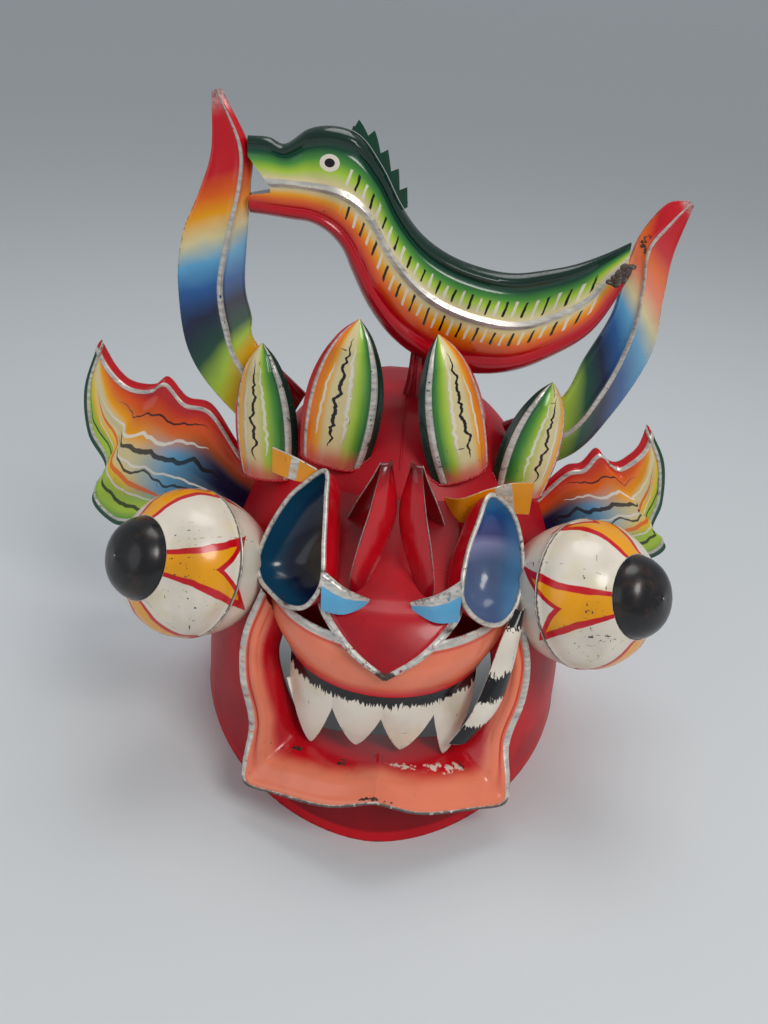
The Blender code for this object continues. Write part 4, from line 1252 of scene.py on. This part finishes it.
ROLL = shape_tree("Rolled rim", "Rim", (("Radius", "Float", 0.001), ("Sides", "Int", 8),
                                        ("Wear", "Float", 0.1)), build_roll)
BEADS = shape_tree("Solder beads", "Beads", (("Spacing", "Float", 0.004), ("Size", "Float", 0.0015),
                                             ("Seed", "Int", 3)), build_beads)


def along_paths(name, tree, paths, paint, slot, closed=False, **values):
    """A piece that a node tree makes along paths of table points."""
    points, edges = [], []
    for path in paths:
        first = len(points)
        points += [placed(point) for point in path]
        edges += [(first + i, first + i + 1) for i in range(len(path) - 1)]
        if closed:
            edges.append((len(points) - 1, first))
    mesh = bpy.data.meshes.new(name)
    mesh.from_pydata(points, edges, [])
    piece = new_piece(name, mesh, ())
    maker = piece.modifiers.new("maker", "NODES")
    maker.node_group = tree
    values["Paint"] = paint
    for item in tree.interface.items_tree:
        if item.item_type == "SOCKET" and item.in_out == "INPUT" and item.name in values:
            maker[item.identifier] = values[item.name]
    made = bake(piece)
    for layer in UV_LAYERS:
        if layer not in made.uv_layers:
            made.uv_layers.new(name=layer)
    if not made.materials:
        made.materials.append(paint)
    return adopt(piece, slot)


# The pieces

tin = enamel("bare_tin", tin_paint, chips=0.0, scratches=0.7, grime=0.6, gloss=0.36, coat=0.0)
worn = enamel("worn_edge", rim_paint, chips=0.3, grime=0.5, gloss=0.26, coat=0.0)
crimson = enamel("crimson", shell_paint, chips=0.25, scratches=0.45, grime=0.35, gloss=0.36, coat=0.0,
                 shine=0.25)
red = enamel("red", fin_paint, chips=0.35, scratches=0.4, gloss=0.13)
wine = enamel("wine_back", plain("crimson", "wine"), chips=0.4, gloss=0.25)
rim = enamel("worn_rim", rim_paint, chips=0.45, scratches=0.5, grime=0.5, gloss=0.24, coat=0.1)
solder = enamel("solder", solder_paint, chips=0.5, gloss=0.42, coat=0.0)


def back_cut_y(z):
    """Where the open back begins, at a height."""
    (low_y, low_z), (high_y, high_z) = BACK_CUT[0], BACK_CUT[3]
    return low_y + (z - low_z) * (high_y - low_y) / (high_z - low_z)


def outside_bell(point):
    """Whether a point of the tables lies outside the bell."""
    climb = float(np.interp(point[2], BELL.data[:, 1], BELL.data[:, 0]))
    row = BELL.at(climb)
    if row.half_width < 1:
        return True
    across = abs(point[0]) / row.half_width
    if point[1] < row.middle:
        return across ** row.power + ((row.middle - point[1]) / (row.front + row.middle)) ** row.power > 1
    return across ** row.power + ((point[1] - row.middle) / row.back) ** 2 > 1


def foot_line(surface, samples, high=0.45, steps=120):
    """Where the runs of a surface come out of the bell."""
    path = []
    for i in range(samples + 1):
        for j in range(steps):
            point = surface(i / samples, high * j / steps)
            if outside_bell(point):
                path.append(point)
                break
    return path


def near(*names):
    """Cutters that are the solids of CAD nodes, grown by a gap."""
    grown = []
    for name in names:
        shape = bmesh.new()
        shape.from_mesh(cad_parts[name].data)
        bmesh.ops.remove_doubles(shape, verts=shape.verts, dist=DOUBLE * MM)
        shape.normal_update()
        moves = [(vertex, vertex.normal.copy()) for vertex in shape.verts]
        for vertex, normal in moves:
            vertex.co += normal * GAP * MM
        mesh = bpy.data.meshes.new("near_" + name)
        shape.to_mesh(mesh)
        shape.free()
        grown.append(linked("near_" + name, mesh))
    return grown


def bell_solid(columns=120, rows=40):
    """The whole bell as a cutter."""
    rings = [[Vector(bell_point(column / columns, row / rows)) for column in range(columns)]
             for row in range(rows + 1)]
    return loft("bell_solid", rings, [0.0] * columns, ())


def cutters_for_shell():
    """The mouth hole, the open back and all below the floor."""
    left = [(-x, z) for x, z in reversed(MOUTH_HOLE[1:-1])]
    mouth = prism("mouth_cutter", list(MOUTH_HOLE) + left, -BEYOND, -MOUTH_HOLE_DEPTH)
    behind = loft("back_cutter", [[(x, y, z) for y, z in BACK_CUT] for x in (-SIDEWAYS, SIDEWAYS)],
                  [0.0] * len(BACK_CUT), ())
    floor = prism("floor_cutter", ((-SIDEWAYS, -UNDER), (SIDEWAYS, -UNDER), (SIDEWAYS, 0), (-SIDEWAYS, 0)),
                  -BEYOND, BEYOND)
    return [mouth, behind, floor]


bell = bell_solid()
cutters = cutters_for_shell()
plate("mask_bell", bell_point, 144, 72, (crimson, tin, worn), "crimson_enamel", closed=True,
      cutters=cutters, beside=["mouth_flare"], nodes=["shell"])
drop(cutters)


HEM_LEVEL = 1.5
HEM_CLIMB = 0.0875
HEM_RADIUS = 1.3


def evenly(low, span, steps):
    return [low + span * i / steps for i in range(steps + 1)]


back_edge = []
for climb in evenly(0.008, 0.95, 100):
    row = BELL.at(climb)
    share = (back_cut_y(row.height) - row.middle) / row.back if row.back > 1 else 2
    if share < 1 and row.height > HEM_RADIUS:
        back_edge.append((row.half_width * (1 - share ** 2) ** (1 / row.power), back_cut_y(row.height),
                          row.height))
back_arch = back_edge + [(-x, y, z) for x, y, z in reversed(back_edge)]
hem = [bell_point(i / 360, HEM_CLIMB) for i in range(-180, 180)]
hem = [(x, y, HEM_LEVEL) for x, y, z in hem if y < back_cut_y(HEM_LEVEL)]
along_paths("bell_hem", ROLL, [hem], red, "crimson_enamel", Radius=HEM_RADIUS * MM, Sides=8, Wear=0.15)
along_paths("back_hem", ROLL, [back_arch], red, "crimson_enamel", Radius=1.2 * MM, Sides=8, Wear=0.15)
chin = [bell_point(0.0, climb) for climb in evenly(0.093, 0.15, 30)]
chin = [point for point in chin if 3 < point[2] < MOUTH_HOLE[-1][1] - 2]
brow_seam = [bell_point(0.0, climb) for climb in evenly(0.66, 0.30, 30)]
along_paths("bell_seam", ROLL, [chin, brow_seam], crimson, "crimson_enamel", Radius=0.8 * MM, Sides=8,
            Wear=0.3)


def flare_relief(turn, out):
    across = abs(2 * turn - 1)
    side = step(across, 0.28, 0.5)
    ridge = 1.5 * bump(out, 0.66, 0.07) * (0.5 + 0.5 * side)
    trench = -1.3 * bump(out, 0.79, 0.05) * side
    rolled = 0.9 * bump(out, 0.93, 0.05)
    return -(ridge + trench + rolled)


salmon = enamel("salmon_collar", flare_paint, chips=0.42, scratches=0.45)
plate("mouth_collar", flare_point, 150, 44, (wine, salmon, rim), "salmon_enamel", relief=flare_relief,
      nodes=["mouth_flare"])
lip_salmon = enamel("salmon_lip", lip_paint, chips=0.36)
plate("muzzle", lip_point, 110, 36, (wine, lip_salmon, rim), "salmon_enamel",
      relief=lambda turn, drop: -(0.9 * bump(drop, 0.07, 0.05) + 0.5 * bump(drop, 0.97, 0.04)),
      cutters=[bell], beside=["nose", "nostril_cup_left", "nostril_cup_right", "mouth_flare"],
      nodes=["upper_lip"])


def nose_reach(turn, drop):
    """How far a place is from the nose's side edges, in centimetres."""
    return (NOSE.at(drop).half_width * (1 - abs(2 * turn - 1)) / 10, 1.0)


def nose_relief(turn, drop):
    reach = nose_reach(turn, drop)[0]
    low = step(drop, 0.45, 0.55)
    return -(1.0 * bump(reach, 0.22, 0.14) - 0.5 * bump(reach, 0.58, 0.10)) * low


nose_red = enamel("nose_paint", nose_paint, chips=0.3, gloss=0.24, shine=0.4)
plate("nose_plate", nose_point, 70, 90, (wine, nose_red, rim), "crimson_enamel", relief=nose_relief,
      reach=nose_reach, cutters=[bell], beside=["nostril_cup_left", "nostril_cup_right"], nodes=["nose"])


def tooth_relief(turn, drop):
    share = tooth_share(teeth_x(turn))[0]
    round_face = (1 - share ** 2) * step(drop, 0.25, 0.6)
    return -(1.7 * round_face + 0.5 * bump(drop, 0.22, 0.05))


tooth_white = enamel("tooth_paint", tooth_paint, chips=0.34, scratches=0.9)
plate("tooth_strip", teeth_point, 180, 26, (tin, tooth_white, worn), "tooth_enamel", relief=tooth_relief,
      nodes=["teeth"])


def back_relief(turn, along):
    """The hem at the open edge of an eye's back cone."""
    return -0.7 * bump(along, 0.985, 0.02)


def front_relief(turn, along):
    """The hems at both edges of an eye's front bowl."""
    return -(0.7 * bump(along, 0.015, 0.02) + 0.5 * bump(along, 0.985, 0.02))


RIM_STEPS = 90
RIM_SINK = 0.7

for side in ("left", "right"):
    sign = side_sign(side)
    bowl = enamel("bowl_" + side, bowl_paint(side), chips=0.22, scratches=0.6, gloss=0.14)
    outside = enamel("bowl_back_" + side, plain("red", "crimson"), chips=0.3, gloss=0.16)
    faces = (outside, bowl, rim) if sign > 0 else (bowl, outside, rim)
    plate("nostril_bowl_" + side, cup_point(side), 96, 28, faces, "bowl_enamel", closed=True,
          inwards=-float(sign), cutters=[bell], nodes=["nostril_cup_" + side])
    path = [mirrored(cup_rim(side, i / RIM_STEPS) - CUP_NORMAL * RIM_SINK, sign) for i in range(RIM_STEPS)]
    along_paths("nostril_rim_" + side, ROLL, [path], rim, "bowl_enamel", closed=True, Radius=1.5 * MM,
                Sides=10, Wear=0.12)
    sky = enamel("flap_paint_" + side, flap_paint, chips=0.4)
    plate("nostril_lobe_" + side, flap_point(sign), 30, 44, (sky, sky, rim), "sky_enamel",
          relief=lambda down, along: sign * -0.9 * bump(down, 0.12, 0.10) * (1 - step(along, 0.8, 1.0)),
          beside=["nose", "nostril_cup_" + side, "upper_lip"], nodes=["nostril_flap_" + side])
    plate("nose_leaf_" + side, ribbon(FIN, FIN_YAW, sign, curl=-2.0), 24, 130, (red, red, rim),
          "crimson_enamel", inwards=0.0, cutters=[bell], beside=["nose", "nostril_cup_" + side],
          nodes=["nose_fin_" + side])
    amber = enamel("brow_paint_" + side, brow_paint(side), chips=0.3)
    plate("brow_strip_" + side, brow_point(side), 20, 60, (amber, amber, worn), "brow_enamel", inwards=0.0,
          cutters=[bell], beside=["nostril_cup_" + side, "nose_fin_" + side, "nose", "leaf_inner_" + side,
                                  "leaf_outer_" + side], nodes=["brow_" + side])

    foot, axis = EYE_FEET[side], mirrored(EYE_AXIS, sign)
    eye_front = enamel("eye_front_paint_" + side, eye_paint(side, True), chips=0.85, scratches=1.4)
    eye_back = enamel("eye_back_paint_" + side, eye_paint(side, False), chips=0.7, scratches=1.2)
    pupil = enamel("pupil_paint_" + side, pupil_paint, chips=0.55, scratches=0.3, gloss=0.24)
    plate("eyeball_back_" + side, turned_point(foot, axis, EYE_BACK), 72, 30, (tin, eye_back, worn),
          "eye_enamel", closed=True, relief=back_relief, cutters=[bell],
          beside=["mouth_flare", "nostril_cup_" + side], nodes=["eye_back_" + side])
    plate("eyeball_front_" + side, turned_point(foot + axis * GAP, axis, EYE_FRONT), 72, 30,
          (tin, eye_front, worn), "eye_enamel", closed=True, relief=front_relief,
          nodes=["eye_front_" + side])
    plate("pupil_cap_" + side, turned_point(foot + axis * GAP * 2, axis, PUPIL), 64, 22, (tin, pupil, worn),
          "pupil_enamel", closed=True, nodes=["pupil_" + side])


def leaf_relief(across, along):
    ends = step(along, 0.0, 0.04) * (1 - step(along, 0.80, 0.97))
    ribs = 1.1 * (bump(across, 0.11, 0.035) + bump(across, 0.89, 0.035))
    return ends * (ribs - 0.4 * (bump(across, 0.18, 0.03) + bump(across, 0.82, 0.03)))


for leaf in LEAVES:
    title = leaf.place + "_" + leaf.side
    paint = enamel("leaf_paint_" + title, leaf_paint(leaf), chips=0.55, scratches=1.0)
    plate("crown_leaf_" + title, leaf_point(leaf), 84, 84, (paint, wine, rim), "leaf_enamel",
          relief=leaf_relief, cutters=[bell], nodes=["leaf_" + title])
    along_paths("solder_leaf_" + title, BEADS, [foot_line(leaf_point(leaf), 24)], red, "crimson_enamel",
                Spacing=1.5 * MM, Size=1.1 * MM, Seed=len(title))


def ear_reach(table):
    """How far a place on an ear is from its lower and its upper edge, in centimetres."""
    def reach(out, up):
        row = table.at(out)
        span = math.hypot(row.high_x - row.low_x, row.high_z - row.low_z) / 10
        return (span * up, span * (1 - up))
    return reach


def ear_relief(table, sign):
    reach = ear_reach(table)

    def relief(out, up):
        near, far = reach(out, up)
        ribs = 1.3 * (bump(near, 0.62, 0.15) * step(out, 0.38, 0.46) + bump(far, 0.62, 0.15))
        folds = 0.9 * math.cos(2 * math.pi * (up * 4.2 - 0.3))
        folds *= step(out, 0.05, 0.3) * (1 - step(out, 0.7, 0.95)) * step(min(near, far), 0.7, 1.4)
        return sign * (ribs + folds)
    return relief


for side, table in EARS.items():
    paint = enamel("ear_paint_" + side, ear_paint, chips=0.36, scratches=0.5)
    faces = (wine, paint, rim) if side == "left" else (paint, wine, rim)
    plate("wing_ear_" + side, ear_point(table), 146, 62, faces, "wing_enamel", inwards=0.0,
          relief=ear_relief(table, side_sign(side)), reach=ear_reach(table), cutters=[bell],
          beside=["horn_" + side], nodes=["ear_" + side])

tusk = enamel("tusk_paint", tusk_paint, chips=0.3)
plate("tusk", ribbon(TUSK, TUSK_YAW, 1, curl=3.0), 26, 70, (tusk, tusk, worn), "tusk_enamel", inwards=0.0,
      cutters=[bell], beside=["mouth_flare", "upper_lip", "teeth", "nostril_cup_right", "eye_back_right"],
      nodes=["tusk_right"])
bone = enamel("stub_paint", plain("ivory", "cream"), chips=0.5)
plate("tusk_stub", ribbon(STUB, TUSK_YAW, 1), 12, 20, (bone, bone, worn), "tooth_enamel", inwards=0.0,
      beside=["mouth_flare", "teeth"], nodes=["tusk_stub_left"])


def facing(samples, heights, start, middle, end):
    """A pressed half from one edge over its middle line to the other, with its share of the depth."""
    half = []
    for i in range(samples + 1):
        s = i / samples
        point = start.lerp(middle, 2 * s) if s < 0.5 else middle.lerp(end, 2 * s - 1)
        half.append((point, heights(s)))
    return half


def two_halves(half, depth, y):
    """A ring of a pressed half and its mirror image behind."""
    lift = Vector((0, depth, 0))
    origin = Vector((0, y, 0))
    front = [origin + point - lift * rise for point, rise in half]
    behind = [origin + point + lift * rise for point, rise in reversed(half)]
    return front + behind


def halves_uv(samples):
    row = [i / samples for i in range(samples + 1)]
    return row + row[::-1]


HORN_SAMPLES = 26
HORN_STATIONS = 110
SERPENT_SAMPLES = 44
SERPENT_STATIONS = 200


def horn_height(s):
    facet = 0.12 + 0.66 * (1 - abs(2 * s - 1)) ** 0.8
    return facet + 0.30 * bump(s, 0.5, 0.05) + 0.10 * (bump(s, 0.03, 0.03) + bump(s, 0.97, 0.03))


def horn_ring(table, place):
    row = table.at(place)
    left, ridge, right = (Vector((x, 0, z)) for x, z in (row[1:3], row[3:5], row[5:7]))
    rise = HORN_RIDGE * min(1.0, (right - left).length / 30)
    return two_halves(facing(HORN_SAMPLES, horn_height, left, ridge, right), rise, 0)


for side, table in HORNS.items():
    rings = [horn_ring(table, i / HORN_STATIONS) for i in range(HORN_STATIONS + 1)]
    paint = enamel("horn_paint_" + side, horn_paint(side), chips=0.38, scratches=0.6, gloss=0.13)
    horn = loft("horn_shape_" + side, rings, halves_uv(HORN_SAMPLES), (paint,))
    leaves = near("leaf_inner_" + side, "leaf_outer_" + side)
    finished(trim(horn, [bell] + leaves))
    drop(leaves)
    adopt(horn, "rainbow_enamel", "horn_" + side)


def serpent_height(s):
    body = math.sin(math.pi * s) ** 0.5 * 0.80
    bead = 0.22 * bump(s, 0.06, 0.05) + 0.22 * bump(s, 0.92, 0.06)
    groove = -0.12 * (bump(s, 0.15, 0.025) + bump(s, 0.83, 0.025))
    return max(0.06, body + bead + groove + 0.20 * bump(s, 0.5, 0.035))


def serpent_ring(place):
    row = SERPENT.at(place)
    top, ridge, belly = (Vector((x, 0, z)) for x, z in (row[1:3], row[3:5], row[5:7]))
    return two_halves(facing(SERPENT_SAMPLES, serpent_height, top, ridge, belly), row.half_depth, SERPENT_Y)


rings = [serpent_ring(i / SERPENT_STATIONS) for i in range(SERPENT_STATIONS + 1)]
serpent = loft("serpent_shape", rings, halves_uv(SERPENT_SAMPLES),
               (enamel("serpent_paint", serpent_paint, chips=0.3, scratches=0.4, gloss=0.12),))
notch = prism("jaw_cutter", JAW_NOTCH, -60, 60)
trimmers = [notch] + near("horn_left", "horn_right")
finished(trim(serpent, trimmers))
drop(trimmers)
adopt(serpent, "serpent_enamel", "serpent_body")

along_paths("solder_tail", BEADS, TAIL_JOINTS, solder, "serpent_enamel", Spacing=1.3 * MM, Size=1.7 * MM,
            Seed=5)

crest = enamel("crest_paint", crest_paint, chips=0.5)
plate("crest_strip", crest_point, 100, 6, (crest, crest, rim), "crest_enamel", inwards=0.0,
      nodes=["serpent_crest"])

POST_SIDES = 48
POST_STATIONS = 16
POST_FLUTES = 12
POST_DEPTH = 0.7


def post_ring(place):
    """A fluted ring of the serpent's post."""
    row = STRUT.at(place)
    ring = []
    for i in range(POST_SIDES):
        turn = 2 * math.pi * i / POST_SIDES
        radius = row.radius * (0.92 + 0.08 * math.cos(POST_FLUTES * turn))
        ring.append((STRUT_X + radius * math.cos(turn), STRUT_Y + POST_DEPTH * radius * math.sin(turn),
                     row.height))
    return ring


post = loft("serpent_post", [post_ring(i / POST_STATIONS) for i in range(POST_STATIONS + 1)],
            [i / POST_SIDES for i in range(POST_SIDES)], (enamel("post_paint", post_paint, chips=0.5),))
finished(trim(post, [bell]))
adopt(post, "post_enamel", "serpent_strut")

drop([bell])


# Floor, light and camera

def flat_material(name, colour, roughness):
    material = bpy.data.materials.new(name)
    material.use_nodes = True
    shader = material.node_tree.nodes["Principled BSDF"]
    shader.inputs["Base Color"].default_value = (*colour, 1)
    shader.inputs["Roughness"].default_value = roughness
    return material


FLOOR_REACH = 60
floor_mesh = bpy.data.meshes.new("floor")
floor_corners = ((-1, -1), (1, -1), (1, 1), (-1, 1))
floor_mesh.from_pydata([(x * FLOOR_REACH, y * FLOOR_REACH, 0) for x, y in floor_corners], [], [(0, 1, 2, 3)])
floor_mesh.materials.append(flat_material("floor_paper", (0.70, 0.73, 0.75), 0.8))
linked("floor", floor_mesh)


def area_light(name, place, target, size, power, colour):
    """A round lamp that looks at a target."""
    data = bpy.data.lights.new(name, "AREA")
    data.shape, data.size, data.energy, data.color = "DISK", size, power, colour
    lamp = linked(name, data)
    lamp.location = place
    lamp.rotation_euler = (Vector(target) - Vector(place)).to_track_quat("-Z", "Y").to_euler()


LOOK_AT = (0.0, -0.02, 0.18)
area_light("key", (0.75, -0.95, 1.45), LOOK_AT, 0.7, 11, (1.0, 0.97, 0.93))
area_light("fill", (-1.2, -0.9, 0.8), LOOK_AT, 1.2, 2.5, (0.93, 0.96, 1.0))
area_light("top", (0.1, 0.4, 1.5), LOOK_AT, 0.8, 5, (1.0, 1.0, 1.0))

# The backdrop has the shade of the far floor, so that the floor shows no edge
FAR_FLOOR = (0.249, 0.271, 0.290, 1)
world = bpy.data.worlds.new("studio")
bpy.context.scene.world = world
bpy.context.scene.view_settings.view_transform = "Standard"
world.use_nodes = True
n = Nodes(world.node_tree)
lit = world.node_tree.nodes["Background"]
n.fill(lit, {"Color": (0.62, 0.65, 0.68, 1), "Strength": 0.55})
seen = n.add("ShaderNodeBackground", (FAR_FLOOR, 1.0))
direct = n.add("ShaderNodeLightPath").outputs["Is Camera Ray"]
sky = n.add("ShaderNodeMixShader", (direct, lit.outputs[0], seen.outputs[0]))
n.put(world.node_tree.nodes["World Output"].inputs["Surface"], sky.outputs[0])

# The camera of the photograph: pitched down by thirty degrees and rolled a little
CAMERA_PLACE = Vector((0.003, -0.495, 0.467))
CAMERA_PITCH = math.radians(30)
CAMERA_ROLL = math.radians(4.5)
FOCAL_PIXELS = 900
FRAME_PIXELS = 1024
SENSOR = 36
camera_data = bpy.data.cameras.new("camera")
camera_data.sensor_width = SENSOR
camera_data.lens = FOCAL_PIXELS / FRAME_PIXELS * SENSOR
camera = linked("camera", camera_data)
right = Vector((1, 0, 0))
up = Vector((0, math.sin(CAMERA_PITCH), math.cos(CAMERA_PITCH)))
ahead = Vector((0, math.cos(CAMERA_PITCH), -math.sin(CAMERA_PITCH)))
rolled_right = right * math.cos(CAMERA_ROLL) + up * math.sin(CAMERA_ROLL)
rolled_up = up * math.cos(CAMERA_ROLL) - right * math.sin(CAMERA_ROLL)
turned = Matrix((rolled_right, rolled_up, -ahead)).transposed().to_4x4()
turned.translation = CAMERA_PLACE
camera.matrix_world = turned
bpy.context.scene.camera = camera
